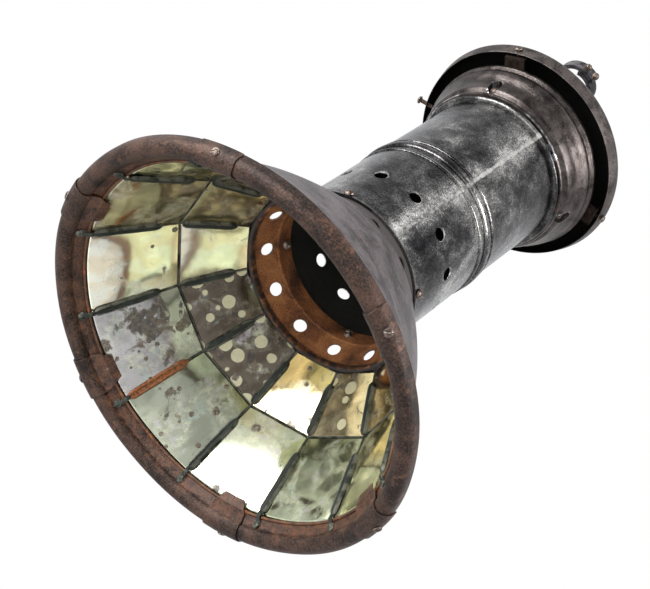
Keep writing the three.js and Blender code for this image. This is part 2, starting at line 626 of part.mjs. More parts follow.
add("bell_shell", bellShell(), SHELL_BROWN);
add("vent_collar", collar(), COLLAR_RUST);
add("tube_lower", tubeLower(), GUNMETAL);
add("tube_upper", tubeUpper(), GUNMETAL);
const collarBolt = () =>
  radialScrew({
    z: COLLAR_BOLT_Z,
    seat: TUBE_R + GAP,
    tip: 67,
    shank: 2.2,
    head: 4.6,
    nut: { r: 4.4, from: 68.8, to: NECK_R - 2 * GAP },
  });
ring(COLLAR_BOLTS, COLLAR_BOLT_TURN, collarBolt).forEach((geometry, i) =>
  add(numbered("collar_bolt", i), geometry, SCREW),
);

add("shoulder", shoulder(), CAST_BROWN);
SHOULDER_SCREW_TURNS.forEach((turn, i) => {
  const screw = radialScrew({ z: SHOULDER_SCREW_Z, seat: 81.9, tip: 72, shank: 2, head: 4.2 });
  add(numbered("shoulder_screw", i), at(turn, screw), SCREW);
});
add("hood", hood(), CAST_BROWN);
HOOD_SCREW_TURNS.forEach((turn, i) => {
  const screw = radialScrew({
    z: HOOD_SCREW_Z,
    seat: 114.6,
    tip: 102.4,
    shank: 2,
    head: 4.2,
    nut: { r: 3.8, from: 103.6, to: 106.1 },
  });
  add(numbered("hood_screw", i), at(turn, screw), SCREW);
});
const setScrew = radialScrew({ z: SET_SCREW.z, seat: 121.5, tip: 99.5, shank: 2.4, head: 4.3 });
add("hood_set_screw", at(SET_SCREW.turn, setScrew), SCREW);

add("head_fitting", headFitting(), CAST_BROWN);
add("loop_pin", loopPin(), SCREW);
add("cock_body", cockBody(), BRASS);
add("cock_key", cockKey(), BRASS);
add("gas_pipe", gasPipe(), BRASS);
add("burner", burner(), STEATITE);

const crownHoles = CROWN_SCREWS.map(crownHole);
const leftStrap = halfStrap(-1, LOOP_R + STRAP * 1.5 + GAP, 90 + OVERLAP.right);
const rightStrap = halfStrap(1, LOOP_R + STRAP / 2, 90 + OVERLAP.left);
add("loop_strap_left", without(leftStrap, ...crownHoles), STRAP_GREY, swingingLoop);
add("loop_strap_right", without(rightStrap, ...crownHoles), STRAP_GREY, swingingLoop);
CROWN_SCREWS.forEach((angle, i) => add(numbered("loop_screw", i), crownScrew(angle), SCREW, swingingLoop));
swingingLoop.position.set(0, 0, PIVOT_Z);
swingingLoop.rotation.set(radians(LOOP_LEAN), 0, radians(FORK_TURN), "ZYX");
lamp.add(swingingLoop);
lamp.position.z = STAND;

export default lamp;
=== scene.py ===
"""Looks of a hanging acetylene lamp head with a mirrored reflector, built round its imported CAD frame.

Lengths are in millimetres and angles in degrees, and points are turned into metres where a mesh is made.
The lamp's axis is Z and its mouth is down. Heights are measured from the rim bead's lowest plane, as the
part's own drawing does, and STAND lifts them into the frame. A turned piece is a closed outline of
[radius, height] points.
"""

import json
from math import atan2, cos, degrees, exp, hypot, pi, radians, sin, sqrt

import bmesh
import bpy
import numpy as np
from mathutils import Matrix, Quaternion, Vector, noise


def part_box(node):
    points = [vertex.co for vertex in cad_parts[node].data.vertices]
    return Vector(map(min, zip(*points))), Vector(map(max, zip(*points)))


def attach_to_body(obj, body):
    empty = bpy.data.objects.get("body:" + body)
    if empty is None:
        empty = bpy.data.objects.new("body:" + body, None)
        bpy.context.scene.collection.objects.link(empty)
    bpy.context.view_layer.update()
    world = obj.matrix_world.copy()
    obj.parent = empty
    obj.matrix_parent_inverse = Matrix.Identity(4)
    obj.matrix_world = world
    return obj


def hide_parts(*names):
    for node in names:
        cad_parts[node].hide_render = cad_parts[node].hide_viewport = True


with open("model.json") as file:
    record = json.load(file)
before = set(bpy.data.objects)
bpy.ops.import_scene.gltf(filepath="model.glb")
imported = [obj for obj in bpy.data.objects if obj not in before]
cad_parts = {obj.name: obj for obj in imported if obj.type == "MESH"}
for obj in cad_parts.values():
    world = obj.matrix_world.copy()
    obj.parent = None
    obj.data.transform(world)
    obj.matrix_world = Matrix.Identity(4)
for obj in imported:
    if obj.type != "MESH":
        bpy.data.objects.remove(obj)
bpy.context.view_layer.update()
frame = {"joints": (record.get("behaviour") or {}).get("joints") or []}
noise.seed_set(1)  # noise_vector would take its seed from the clock

# ---- sizes read from the frame ----
MM = 0.001
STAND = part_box("rim_ring")[0].z / MM


def low(node):
    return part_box(node)[0] / MM - Vector((0, 0, STAND))


def high(node):
    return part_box(node)[1] / MM - Vector((0, 0, STAND))


def joint_place(name):
    joint = next(joint for joint in frame["joints"] if joint["name"] == name)
    return Vector(joint["pos_m"]) / MM - Vector((0, 0, STAND))


GAP = 0.3
MOUTH_R = high("rim_ring").x
RIM_TAIL = high("rim_ring").z - 4.6
BEAD_R = 8.5
BEAD_C = MOUTH_R - BEAD_R  # radius of the bead's centre circle
SHEET = 1.2
LIP_R = MOUTH_R - 23.0
LIP_Z = 18.5
BELL_TOP = high("bell_shell").z
COLLAR_R = high("vent_collar").x
COLLAR_TOP = high("vent_collar").z
TUBE_LIP_R = high("tube_lower").x
TUBE_R = TUBE_LIP_R - 1.3
TUBE_FOOT = low("tube_lower").z
SPIGOT_TOP = high("tube_lower").z
TUBE_JOINT = low("tube_upper").z
TUBE_TOP = high("tube_upper").z
STOP_R = high("tube_upper").x
STOP_Z = TUBE_JOINT + 134.2
SHOULDER_FOOT = low("shoulder").z
HOOD_R = high("hood").x
HOOD_EDGE = low("hood").z
HOOD_TOP = high("hood").z
PIVOT = joint_place("loop_swing")
COCK = joint_place("cock_turn")

PANES = 12
SEAM_TURN = 6.0
HALF_SECTOR = 180.0 / PANES
GLASS = 2.2
TIER_BOTTOM = (MOUTH_R - 26.7, 23.0)
TIER_JOINT = (129.5, 95.4)
TIER_TOP = (89.9, 148.0)

VENT_R = 6.35
VENTS = 12
VENT_TURN = 16.5
CLIPS = 6
CLIP_TURN = -13.0
CLIP_HALF = 6.0
CLIP_SCREW_TILT = 35.0
COLLAR_BOLT_Z = 185.0
TUBE_VENT_Z = 231.0
COLLAR_VENT = (78.7, 165.0)
SHOULDER_SCREW_Z = 438.0
SHOULDER_SCREWS = (-138.0, -23.5, 101.0)
POCKET_FLOOR = 81.6
HOOD_SCREW_Z = 479.0
HOOD_SCREWS = (-137.0, -22.3, 100.0)
SET_SCREW_TURN = 149.0
SET_SCREW_Z = 477.5
SET_SCREW_SEAT = 121.5

SEGMENTS = 288  # round a large turned piece
SMALL = 32  # round a screw or a pipe


# ---- outlines and solids ----
def arc(r, z, radius, start, end, steps=12):
    turns = np.radians(np.linspace(start, end, steps + 1))
    return [[r + radius * cos(turn), z + radius * sin(turn)] for turn in turns]


def curve(points, step=4.0):
    """Points about one step apart on a smooth curve through the given ones (Catmull-Rom)."""
    knots = [np.array(point, float) for point in points]
    knots = [2 * knots[0] - knots[1]] + knots + [2 * knots[-1] - knots[-2]]
    path = []
    for a, b, c, d in zip(knots, knots[1:], knots[2:], knots[3:]):
        count = max(1, round(np.linalg.norm(c - b) / step))
        for t in np.arange(count) / count:
            bend = 2 * b + (c - a) * t + (2 * a - 5 * b + 4 * c - d) * t**2 + (3 * b - a - 3 * c + d) * t**3
            path.append(bend / 2)
    return [point.tolist() for point in path + [knots[-2]]]


def sheet(path, thickness):
    """Closed outline of bent sheet: the path is one face, and the other lies to its left."""
    points = np.array(path, float)
    steps = np.diff(points, axis=0)
    steps /= np.linalg.norm(steps, axis=1)[:, None]
    left = np.stack([-steps[:, 1], steps[:, 0]], 1)
    before = np.vstack([left[:1], left])
    middle = before + np.vstack([left, left[-1:]])
    middle /= np.linalg.norm(middle, axis=1)[:, None]
    other = points + middle * (thickness / (middle * before).sum(1))[:, None]
    return points.tolist() + other[::-1].tolist()


def rounded(outline, radius, steps=3):
    """Closed outline with each corner turned into a small curve, and points on the axis left alone."""
    points = [np.array(point, float) for point in outline]
    result = []
    for i, corner in enumerate(points):
        back = points[i - 1] - corner
        ahead = points[(i + 1) % len(points)] - corner
        if corner[0] < 1e-6:
            result.append(corner)
            continue
        start = corner + back * min(radius / np.linalg.norm(back), 0.45)
        end = corner + ahead * min(radius / np.linalg.norm(ahead), 0.45)
        for t in np.linspace(0, 1, steps + 1):
            result.append(start * (1 - t) ** 2 + corner * 2 * t * (1 - t) + end * t**2)
    return [point.tolist() for point in result]


def fine(outline, step=4.0):
    """Closed outline with its long edges split, so that dents have points to move."""
    result = []
    for a, b in zip(outline, outline[1:] + outline[:1]):
        a, b = np.array(a, float), np.array(b, float)
        count = max(1, int(np.linalg.norm(b - a) / step))
        result += [(a + (b - a) * t).tolist() for t in np.arange(count) / count]
    return result


def grid_faces(rows, columns, wrap_rows, wrap_columns):
    i = np.arange(rows if wrap_rows else rows - 1)[:, None]
    j = np.arange(columns if wrap_columns else columns - 1)[None, :]
    i_next, j_next = (i + 1) % rows, (j + 1) % columns
    corners = [i * columns + j, i_next * columns + j, i_next * columns + j_next, i * columns + j_next]
    return np.stack([corner + 0 * (i + j) for corner in corners], 2).reshape(-1, 4).tolist()


def turned(outline, segments=SEGMENTS, first=0.0, span=360.0):
    """Solid of a closed outline turned about Z, or a part of that turn with flat ends."""
    outline = np.array(outline, float)
    whole = span == 360.0
    rows = segments if whole else segments + 1
    turns = np.radians(first + span * np.arange(rows) / segments)
    x = np.outer(np.cos(turns), outline[:, 0])
    y = np.outer(np.sin(turns), outline[:, 0])
    z = np.tile(outline[:, 1], (rows, 1))
    faces = grid_faces(rows, len(outline), whole, True)
    if not whole:
        faces += [list(range(len(outline))), list(range((rows - 1) * len(outline), rows * len(outline)))]
    return np.stack([x, y, z], 2).reshape(-1, 3), faces


def lofted(sections):
    """Solid through equal closed sections, with a flat face on each end."""
    sections = np.array(sections, float)
    rows, columns = sections.shape[:2]
    ends = [list(range(columns)), list(range((rows - 1) * columns, rows * columns))]
    return sections.reshape(-1, 3), grid_faces(rows, columns, False, True) + ends


def slab(outline, axis, start, end):
    """Solid of a flat outline, from start to end along the axis of that number."""
    return lofted([np.insert(np.array(outline, float), axis, at, 1) for at in (start, end)])


def swept(path, section, across):
    """Solid of a section carried along a path: its first axis is square to `across`, its second lies on
    it."""
    path = np.array(path, float)
    ways = np.gradient(path, axis=0)
    across = np.array(across, float)
    rings = []
    for point, way in zip(path, ways):
        side = np.cross(across, way)
        side /= np.linalg.norm(side)
        rings.append([point + side * u + np.cross(way, side) / np.linalg.norm(way) * v for u, v in section])
    return lofted(rings)


def round_section(radius, count=SMALL):
    turns = 2 * np.pi * np.arange(count) / count
    return [[radius * cos(turn), radius * sin(turn)] for turn in turns]


def flat_section(thickness, width, corner):
    """Rectangle with rounded corners, centred on the path."""
    u, v = thickness / 2, width / 2
    return rounded([[u, v], [-u, v], [-u, -v], [u, -v]], corner, 4)


def moved(shape, matrix):
    points, faces = shape
    matrix = np.array(matrix)
    return points @ matrix[:3, :3].T + matrix[:3, 3], faces


def turn(angle, axis="Z"):
    return Matrix.Rotation(radians(angle), 4, axis)


def shift(x, y, z):
    return Matrix.Translation((x, y, z))


def merged(*shapes):
    points, faces = [], []
    for some_points, some_faces in shapes:
        start = sum(len(group) for group in points)
        points.append(some_points)
        faces += [[start + i for i in face] for face in some_faces]
    return np.vstack(points), faces


def dented(shape, depth, size, seed=0.0):
    """Moves points out from or in to the axis by a smooth field, so both faces of a sheet move together."""
    points, faces = shape
    points = points.copy()
    for point in points:
        reach = hypot(point[0], point[1])
        if reach > 1:
            field = noise.noise(Vector((point[0], point[1], point[2] + seed * 1000)) / size)
            point[:2] *= 1 + depth * field / reach
    return points, faces


def solid(*points):
    """Closed outline of a solid turned piece, from the points of its face."""
    return [[0, points[0][1]], *points, [0, points[-1][1]]]


def plug(radius, start, end):
    """Outline of a solid cylinder on the axis."""
    return solid([radius, start], [radius, end])


def bar(radius, start, end, z=0.0, count=SMALL):
    """Round bar along +X."""
    return moved(turned(plug(radius, start, end), count), shift(0, 0, z) @ turn(90, "Y"))


def at_each(angles, shape):
    """Copies of a shape modelled at +X, turned round the axis to each angle."""
    return merged(*[moved(shape, turn(angle)) for angle in angles])


def evenly(count, first):
    return [first + i * 360 / count for i in range(count)]


# ---- objects ----
def put(name, data):
    made = bpy.data.objects.new(name, data)
    bpy.context.scene.collection.objects.link(made)
    return made


def to_mesh(name, shape):
    points, faces = shape
    mesh = bpy.data.meshes.new(name)
    mesh.from_pydata(((points + np.array([0, 0, STAND])) * MM).tolist(), [], faces)
    work = bmesh.new()
    work.from_mesh(mesh)
    bmesh.ops.remove_doubles(work, verts=work.verts, dist=1e-7)
    bmesh.ops.recalc_face_normals(work, faces=work.faces)
    work.to_mesh(mesh)
    work.free()
    return mesh


def carve(target, shape, operation="DIFFERENCE", material=None):
    """Cuts a shape out of an object, or joins it on, and keeps the result as the object's own mesh."""
    tool = put("tool", to_mesh("tool", shape))
    if material:
        tool.data.materials.append(material)
    modifier = target.modifiers.new("carve", "BOOLEAN")
    modifier.operation = operation
    modifier.solver = "EXACT"
    modifier.object = tool
    if material:
        modifier.material_mode = "TRANSFER"
    result = bpy.data.meshes.new_from_object(target.evaluated_get(bpy.context.evaluated_depsgraph_get()))
    target.modifiers.clear()
    target.data = result
    bpy.data.objects.remove(tool)


def attach(target, shape):
    """Adds a closed shape to an object's mesh as a shell of its own, with flat faces."""
    extra = to_mesh("extra", shape)
    work = bmesh.new()
    work.from_mesh(target.data)
    first = len(work.faces)
    work.from_mesh(extra)
    work.faces.ensure_lookup_table()
    for face in work.faces[first:]:
        face.smooth = False
    work.to_mesh(target.data)
    work.free()
    bpy.data.meshes.remove(extra)


def piece(name, shape, material, nodes=(), body="lamp", cuts=None, cut_material=None, joins=(),
          sharp=38):
    """Makes an object that stands for the frame's nodes: a shape, joined with others and cut by others."""
    made = put(name, to_mesh(name, shape))
    made.data.materials.append(material)
    for extra in joins:
        carve(made, extra, "UNION")
    if cuts:
        carve(made, cuts, "DIFFERENCE", cut_material)
    made.data.shade_smooth()
    made.data.set_sharp_from_angle(angle=radians(sharp))
    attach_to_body(made, body)
    if nodes:
        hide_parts(*nodes)
    return made


def soften(made, width, segments=2, material=-1):
    """Bevels the sharp edges left by a join or a cut, in the piece's material of that number."""
    bevel = made.modifiers.new("soft_edges", "BEVEL")
    bevel.width = width * MM
    bevel.segments = segments
    bevel.limit_method = "ANGLE"
    bevel.angle_limit = radians(40)
    bevel.material = material


# ---- materials ----
class Paint:
    """Nodes of a material or of the world. Sizes are in millimetres, and each method returns the socket it
    makes."""

    def __init__(self, name, owner=None):
        self.owner = owner or bpy.data.materials.new(name)
        self.owner.use_nodes = True
        self.nodes = self.owner.node_tree.nodes
        self.links = self.owner.node_tree.links
        self.nodes.clear()
        self.place = self.node("TexCoord", {}, "Object")
        self.seed = 0.0

    def node(self, kind, inputs, out=0, **settings):
        made = self.nodes.new("ShaderNode" + kind)
        for key, value in settings.items():
            setattr(made, key, value)
        for key, value in inputs.items():
            socket = made.inputs[key]
            if isinstance(value, bpy.types.NodeSocket):
                self.links.new(value, socket)
            elif socket.type == "RGBA":
                socket.default_value = (*value, 1.0)
            else:
                socket.default_value = value
        return made.outputs[out]

    def where(self, stretch=(1, 1, 1)):
        """The place on the piece, moved aside for each new pattern so that no two look alike."""
        self.seed += 0.37
        aside = (self.seed, self.seed * 0.7, -self.seed)
        return self.node("Mapping", {"Vector": self.place, "Location": aside, "Scale": stretch})

    def noise(self, size, detail=4.0, rough=0.55, warp=0.0, stretch=(1, 1, 1)):
        inputs = {"Vector": self.where(stretch), "Scale": 1 / (size * MM), "Detail": detail}
        return self.node("TexNoise", inputs | {"Roughness": rough, "Distortion": warp})

    def math(self, operation, a, b=0.0):
        return self.node("Math", {0: a, 1: b}, operation=operation)

    def add(self, a, b):
        return self.math("ADD", a, b)

    def times(self, a, b):
        return self.math("MULTIPLY", a, b)

    def most(self, a, b):
        return self.math("MAXIMUM", a, b)

    def rest(self, value):
        """What is left of 1."""
        return self.math("SUBTRACT", 1.0, value)

    def blend(self, a, b, share=0.5):
        """Sum of two patterns, of which a gets the given share."""
        return self.add(self.times(a, share), self.times(b, 1 - share))

    def mask(self, value, start, end):
        """0 up to start, 1 from end on. It runs the other way where end is the smaller."""
        if end < start:
            return self.rest(self.mask(value, end, start))
        inputs = {"Value": value, "From Min": start, "From Max": end}
        return self.node("MapRange", inputs, interpolation_type="SMOOTHSTEP")

    def between(self, value, a, b):
        """A number that goes from a to b as value goes from 0 to 1."""
        return self.node("MapRange", {"Value": value, "To Min": a, "To Max": b})

    def mix(self, share, a, b):
        return self.node("Mix", {0: share, 6: a, 7: b}, 2, data_type="RGBA")

    def ramp(self, value, stops):
        made = self.node("ValToRGB", {0: value}).node
        elements = made.color_ramp.elements
        for i, (position, colour) in enumerate(stops):
            element = elements[i] if i < 2 else elements.new(position)
            element.position = position
            element.color = (*colour, 1.0)
        return made.outputs[0]

    def geometry(self, output):
        return self.node("NewGeometry", {}, output)

    def part(self, vector, axis):
        """X, Y or Z of a vector."""
        return self.node("SeparateXYZ", {0: vector}, axis)

    def edges(self, start=0.52, end=0.58):
        """Where the surface turns outward sharply, so that paint and rust are rubbed off it."""
        return self.mask(self.geometry("Pointiness"), start, end)

    def radius(self):
        """Distance from the lamp's axis, in metres."""
        return self.node("VectorMath", {0: self.flat()}, 1, operation="LENGTH")

    def flat(self):
        return self.node("VectorMath", {0: self.place, 1: (1, 1, 0)}, operation="MULTIPLY")

    def facing_in(self):
        """1 on faces that look at the lamp's axis, such as the inside of a tube."""
        inputs = {0: self.geometry("Normal"), 1: self.flat()}
        inward = self.node("VectorMath", inputs, 1, operation="DOT_PRODUCT")
        return self.mask(inward, -0.002, -0.012)

    def under_hood(self):
        """1 on faces under the hood's cap that look down."""
        down = self.mask(self.part(self.geometry("Normal"), "Z"), -0.5, -0.8)
        return self.times(down, self.mask(self.part(self.place, "Z"), 0.478, 0.482))

    def bump(self, height, depth, below=None):
        inputs = {"Height": height, "Distance": depth * MM}
        if below:
            inputs["Normal"] = below
        return self.node("Bump", inputs)

    def finish(self, **surface):
        inputs = {key.replace("_", " ").title(): value for key, value in surface.items()}
        self.end(self.node("BsdfPrincipled", inputs), "Material")
        return self.owner

    def end(self, surface, output):
        self.links.new(surface, self.nodes.new("ShaderNodeOutput" + output).inputs["Surface"])


RUST_DEEP = (0.075, 0.022, 0.01)
RUST_BRIGHT = (0.36, 0.125, 0.035)


def aged_metal(name, dark, light, worn, patch, grain, metallic, shine, pit, rusting=0.0, soot_and_shade=False,
               dimmed_for_shade=False):
    """Metal with a mottled skin, grain, rubbed edges, pits, and rust over the share that `rusting` gives.
    Its inside and the faces under the hood can be painted near black and matte, for soot and painted shade,
    and its reflection can be dimmed as painted shade."""
    p = Paint(name)
    patches = p.noise(patch, 5, 0.6, 0.5)
    speckle = p.noise(grain, 3)
    skin = p.mix(p.mask(p.blend(patches, speckle, 0.6), 0.4, 0.6), dark, light)
    skin = p.mix(p.times(p.edges(), p.mask(p.noise(patch / 2), 0.35, 0.6)), skin, worn)
    spread = p.mask(p.noise(patch * 0.7, 7, 0.68, 0.4), 0.66 - rusting * 0.34, 0.76 - rusting * 0.34)
    rust = p.mix(p.mask(p.noise(grain * 2.2, 5, 0.7), 0.35, 0.65), RUST_DEEP, RUST_BRIGHT)
    skin = p.mix(p.times(spread, 0.9), skin, rust)
    rough = p.between(p.blend(patches, speckle), shine, shine + 0.35)
    metal = p.between(spread, metallic, metallic * 0.2)
    rough = p.most(rough, p.times(spread, 0.85))
    sheen = (1.0, 1.0, 1.0)
    # Soot and painted shade: faces that look in at the axis, or down under the hood, go near black, matte and
    # nearly without reflection.
    if soot_and_shade:
        inside = p.most(p.facing_in(), p.under_hood())
        skin = p.mix(inside, skin, p.mix(p.noise(3), (0.0015, 0.0015, 0.0015), (0.006, 0.0055, 0.005)))
        metal = p.times(metal, p.rest(inside))
        rough = p.most(rough, p.times(inside, 0.9))
        sheen = p.mix(inside, sheen, (0.06, 0.06, 0.06))
    # Dimmed reflection, as painted shade.
    if dimmed_for_shade:
        sheen = (0.1, 0.09, 0.08)
    grainy = p.bump(speckle, pit)
    surface = p.bump(p.noise(patch / 5, 6, 0.7), pit * 2.5, grainy)
    return p.finish(base_color=skin, metallic=metal, roughness=rough, normal=surface, specular_tint=sheen)


def gunmetal():
    """Rubbed tube: dark grey with cloudy bright patches, fine mottling and a bright uneven run of solder."""
    p = Paint("gunmetal")
    clouds = p.noise(52, 4, 0.55, 0.4, (1, 1, 0.7))
    rubs = p.noise(15, 6, 0.68, 0.6)
    grain = p.noise(1.5, 4, 0.65)
    x, y, height = (p.part(p.place, axis) for axis in "XYZ")
    aside = p.add(p.math("ABSOLUTE", x), p.times(p.noise(11, 5, 0.75), 0.007))
    front = p.mask(y, -0.05, -0.06)
    above = p.mask(height, TUBE_JOINT * MM, (TUBE_JOINT + 30) * MM)
    ridge = p.times(front, p.mask(aside, 0.0062, 0.0046))
    glow = p.times(p.times(front, p.mask(aside, 0.03, 0.006)), p.between(above, 1.2, 0.6))
    tone = p.add(p.add(p.times(clouds, 0.39), p.times(rubs, 0.3)), p.times(grain, 0.31))
    tone = p.add(tone, p.times(glow, 0.06))
    stops = [(0.42, (0.013, 0.013, 0.014)), (0.49, (0.055, 0.053, 0.054)), (0.55, (0.145, 0.142, 0.14)),
             (0.63, (0.44, 0.43, 0.41))]
    skin = p.ramp(tone, stops)
    run = p.mask(p.add(p.noise(4, 6, 0.75), p.times(above, 0.1)), 0.42, 0.62)
    solder = p.mix(run, (0.1, 0.1, 0.1), (0.6, 0.59, 0.56))
    skin = p.mix(p.times(ridge, p.between(above, 0.6, 0.85)), skin, solder)
    skin = p.mix(p.times(p.edges(0.53, 0.6), 0.6), skin, (0.5, 0.49, 0.47))
    # Faces inside the tube are painted near black and matte: soot, and painted shade deep in the tube.
    inside = p.facing_in()
    skin = p.mix(inside, skin, p.mix(p.noise(4), (0.002, 0.002, 0.002), (0.012, 0.012, 0.009)))
    rough = p.add(p.between(rubs, 0.1, 0.36), p.times(ridge, 0.2))
    rough = p.most(rough, p.times(inside, 0.9))
    scratches = p.noise(1.6, 2, 0.5, 0.0, (1, 1, 0.06))
    surface = p.bump(grain, 0.14, p.bump(scratches, 0.05, p.bump(rubs, 0.5)))
    return p.finish(base_color=skin, metallic=p.rest(inside), roughness=rough, normal=surface)


def rim_rust():
    """Dark brown iron, blackened outside and rustier on the band that slopes in to the glass."""
    p = Paint("rim_rust")
    patches = p.noise(34, 6, 0.66, 0.5)
    grit = p.noise(1.8, 4, 0.68)
    band = p.mask(p.radius(), 0.1755, 0.1715)
    tone = p.blend(patches, grit)
    dark = p.mix(p.mask(tone, 0.4, 0.62), (0.01, 0.006, 0.005), (0.088, 0.049, 0.035))
    rust = p.mask(p.blend(p.noise(9, 5, 0.7), grit), 0.38, 0.62)
    rust = p.mix(rust, (0.018, 0.008, 0.005), (0.14, 0.052, 0.021))
    spread = p.mask(p.add(p.noise(17, 7, 0.7, 0.4), p.times(band, 0.2)), 0.56, 0.68)
    skin = p.mix(p.times(spread, 0.85), dark, rust)
    skin = p.mix(p.times(p.edges(0.53, 0.6), 0.4), skin, (0.27, 0.21, 0.17))
    surface = p.bump(grit, 0.3, p.bump(p.noise(7, 6, 0.7), 0.6))
    metal = p.between(spread, 0.6, 0.15)
    return p.finish(base_color=skin, metallic=metal, roughness=p.between(tone, 0.3, 0.75), normal=surface)


def collar_rust():
    """Even orange rust inside, with darker stains and fine grit. The face turned outward is near-black iron,
    whose dark also paints the shade in the gap under the bell's top, and the foot is darker in patches, as
    painted shade in its groove.
    """
    p = Paint("collar_rust")
    stains = p.noise(26, 5, 0.6, 0.5)
    grit = p.noise(1.3, 4, 0.7)
    stops = [(0.38, (0.035, 0.013, 0.006)), (0.5, (0.2, 0.07, 0.022)), (0.62, (0.37, 0.155, 0.055))]
    skin = p.ramp(p.blend(stains, grit, 0.55), stops)
    # Painted shade in the groove at the collar's foot, broken up in patches.
    foot = p.mask(p.part(p.place, "Z"), 0.1555, 0.1535)
    skin = p.mix(p.times(foot, p.mask(p.noise(8, 5), 0.3, 0.6)), skin, (0.02, 0.011, 0.008))
    # Faces turned outward are near black: dark iron, and painted shade in the gap under the bell's top.
    skin = p.mix(p.facing_in(), p.mix(grit, (0.012, 0.01, 0.01), (0.06, 0.05, 0.048)), skin)
    surface = p.bump(grit, 0.3, p.bump(stains, 0.5))
    return p.finish(base_color=skin, metallic=0.1, roughness=0.8, normal=surface)


def old_mirror(name, tint, bloom, blots, spots, discs, seed):
    """Silvered glass seen from its face: tinted and wavy, with milky bloom, brown blots and round ring spots.
    bloom, blots, spots and discs are the shares of the pane that each takes up; the discs are painted
    reflections of the collar's air holes, cream and not metallic."""
    p = Paint(name)
    p.seed = seed
    veil = p.mask(p.noise(34, 4, 0.55, 0.8), 0.64 - bloom * 0.3, 0.8 - bloom * 0.3)
    stain = p.mask(p.noise(27, 6, 0.6, 0.6), 0.7 - blots * 0.32, 0.76 - blots * 0.32)
    small_colour, small_ring = silver_spots(p, spots, 9)
    colour, ring = silver_spots(p, spots * 0.55, 27)
    grit = p.times(p.mask(p.noise(1.5, 3, 0.7), 0.6, 0.68), p.mask(p.noise(22, 3), 0.5, 0.6))
    streaks = p.noise(15, 3, 0.5, 0.4, (1, 1, 0.35))
    silver = p.mix(p.mask(streaks, 0.4, 0.62), tint, tuple(min(1.0, c * 1.3 + 0.02) for c in tint))
    hues = [(0.38, (0.4, 0.5, 0.46)), (0.5, (0.66, 0.68, 0.48)), (0.6, (0.5, 0.46, 0.5))]
    hue = p.ramp(p.noise(16, 3), hues)
    milk = p.mix(p.mask(p.noise(7, 5, 0.7), 0.38, 0.62), tuple(c * 0.75 for c in tint), hue)
    brown = p.mix(p.mask(p.noise(6, 6, 0.7), 0.4, 0.62), (0.022, 0.016, 0.011), (0.13, 0.095, 0.06))
    skin = p.mix(p.times(veil, 0.6), silver, milk)
    skin = p.mix(p.times(stain, 0.9), skin, brown)
    # Cream discs painted where the mirror would show the collar's air holes: a painted reflection, not
    # metallic.
    painted_disc_reflection = p.times(painted_hole_reflections(p, discs), 0.9)
    skin = p.mix(painted_disc_reflection, skin, p.mix(p.noise(4, 5, 0.7), (0.42, 0.4, 0.25), (0.66, 0.62, 0.42)))
    skin = p.mix(p.times(grit, 0.6), skin, (0.07, 0.06, 0.045))
    skin = p.mix(ring, p.mix(small_ring, skin, small_colour), colour)
    cover = p.most(p.times(veil, 0.4), p.times(stain, 0.7))
    cover = p.most(cover, p.most(p.times(p.most(ring, small_ring), 0.9), painted_disc_reflection))
    rough = p.add(0.1, p.times(cover, 0.3))
    ripple = p.bump(p.noise(26, 2, 0.4), 0.26)
    return p.finish(base_color=skin, metallic=p.rest(cover), roughness=rough, normal=ripple,
                    coat_weight=0.45, coat_roughness=0.08)


def cells(p, size, scatter):
    """Round places about a size apart: two random numbers for each of them, and the distance from it."""
    inputs = {"Vector": p.where(), "Scale": 1 / (size * MM), "Randomness": scatter}
    colour = p.node("TexVoronoi", inputs, "Color")
    chance, other = (p.node("SeparateColor", {0: colour}, i) for i in (0, 1))
    return chance, other, colour.node.outputs["Distance"]


def painted_hole_reflections(p, share):
    """Painted reflections of the collar's air holes: clusters of even cream discs."""
    chance, _, distance = cells(p, 17, 0.35)
    away = p.add(distance, p.times(p.noise(5, 3), 0.08))
    return p.times(p.mask(chance, 1.0 - share, 1.001 - share), p.mask(away, 0.45, 0.41))


def silver_spots(p, share, cell):
    """Round spots where the silver has gone: a brown ring with a pale centre, at most one in each cell of
    that size. Returns their colour and mask."""
    chance, size, distance = cells(p, cell, 0.9)
    reach = p.between(size, 0.1, 0.4)
    wobble = p.times(p.noise(2.5, 4, 0.7), 0.16)
    away = p.math("DIVIDE", p.add(distance, wobble), reach)
    shown = p.mask(chance, 1.0 - share, 1.001 - share)
    rim_of_spot = p.mix(p.mask(p.noise(2, 4, 0.7), 0.45, 0.6), (0.06, 0.045, 0.03), (0.2, 0.17, 0.12))
    colour = p.mix(p.mask(away, 0.2, 0.34), (0.6, 0.6, 0.46), rim_of_spot)
    return colour, p.times(shown, p.mask(away, 1.1, 0.92))


def soapstone():
    p = Paint("soapstone")
    soot = p.mask(p.noise(9, 5, 0.6), 0.45, 0.62)
    skin = p.mix(soot, (0.62, 0.56, 0.47), (0.1, 0.09, 0.08))
    return p.finish(base_color=skin, metallic=0.0, roughness=0.75, normal=p.bump(p.noise(0.8), 0.1))


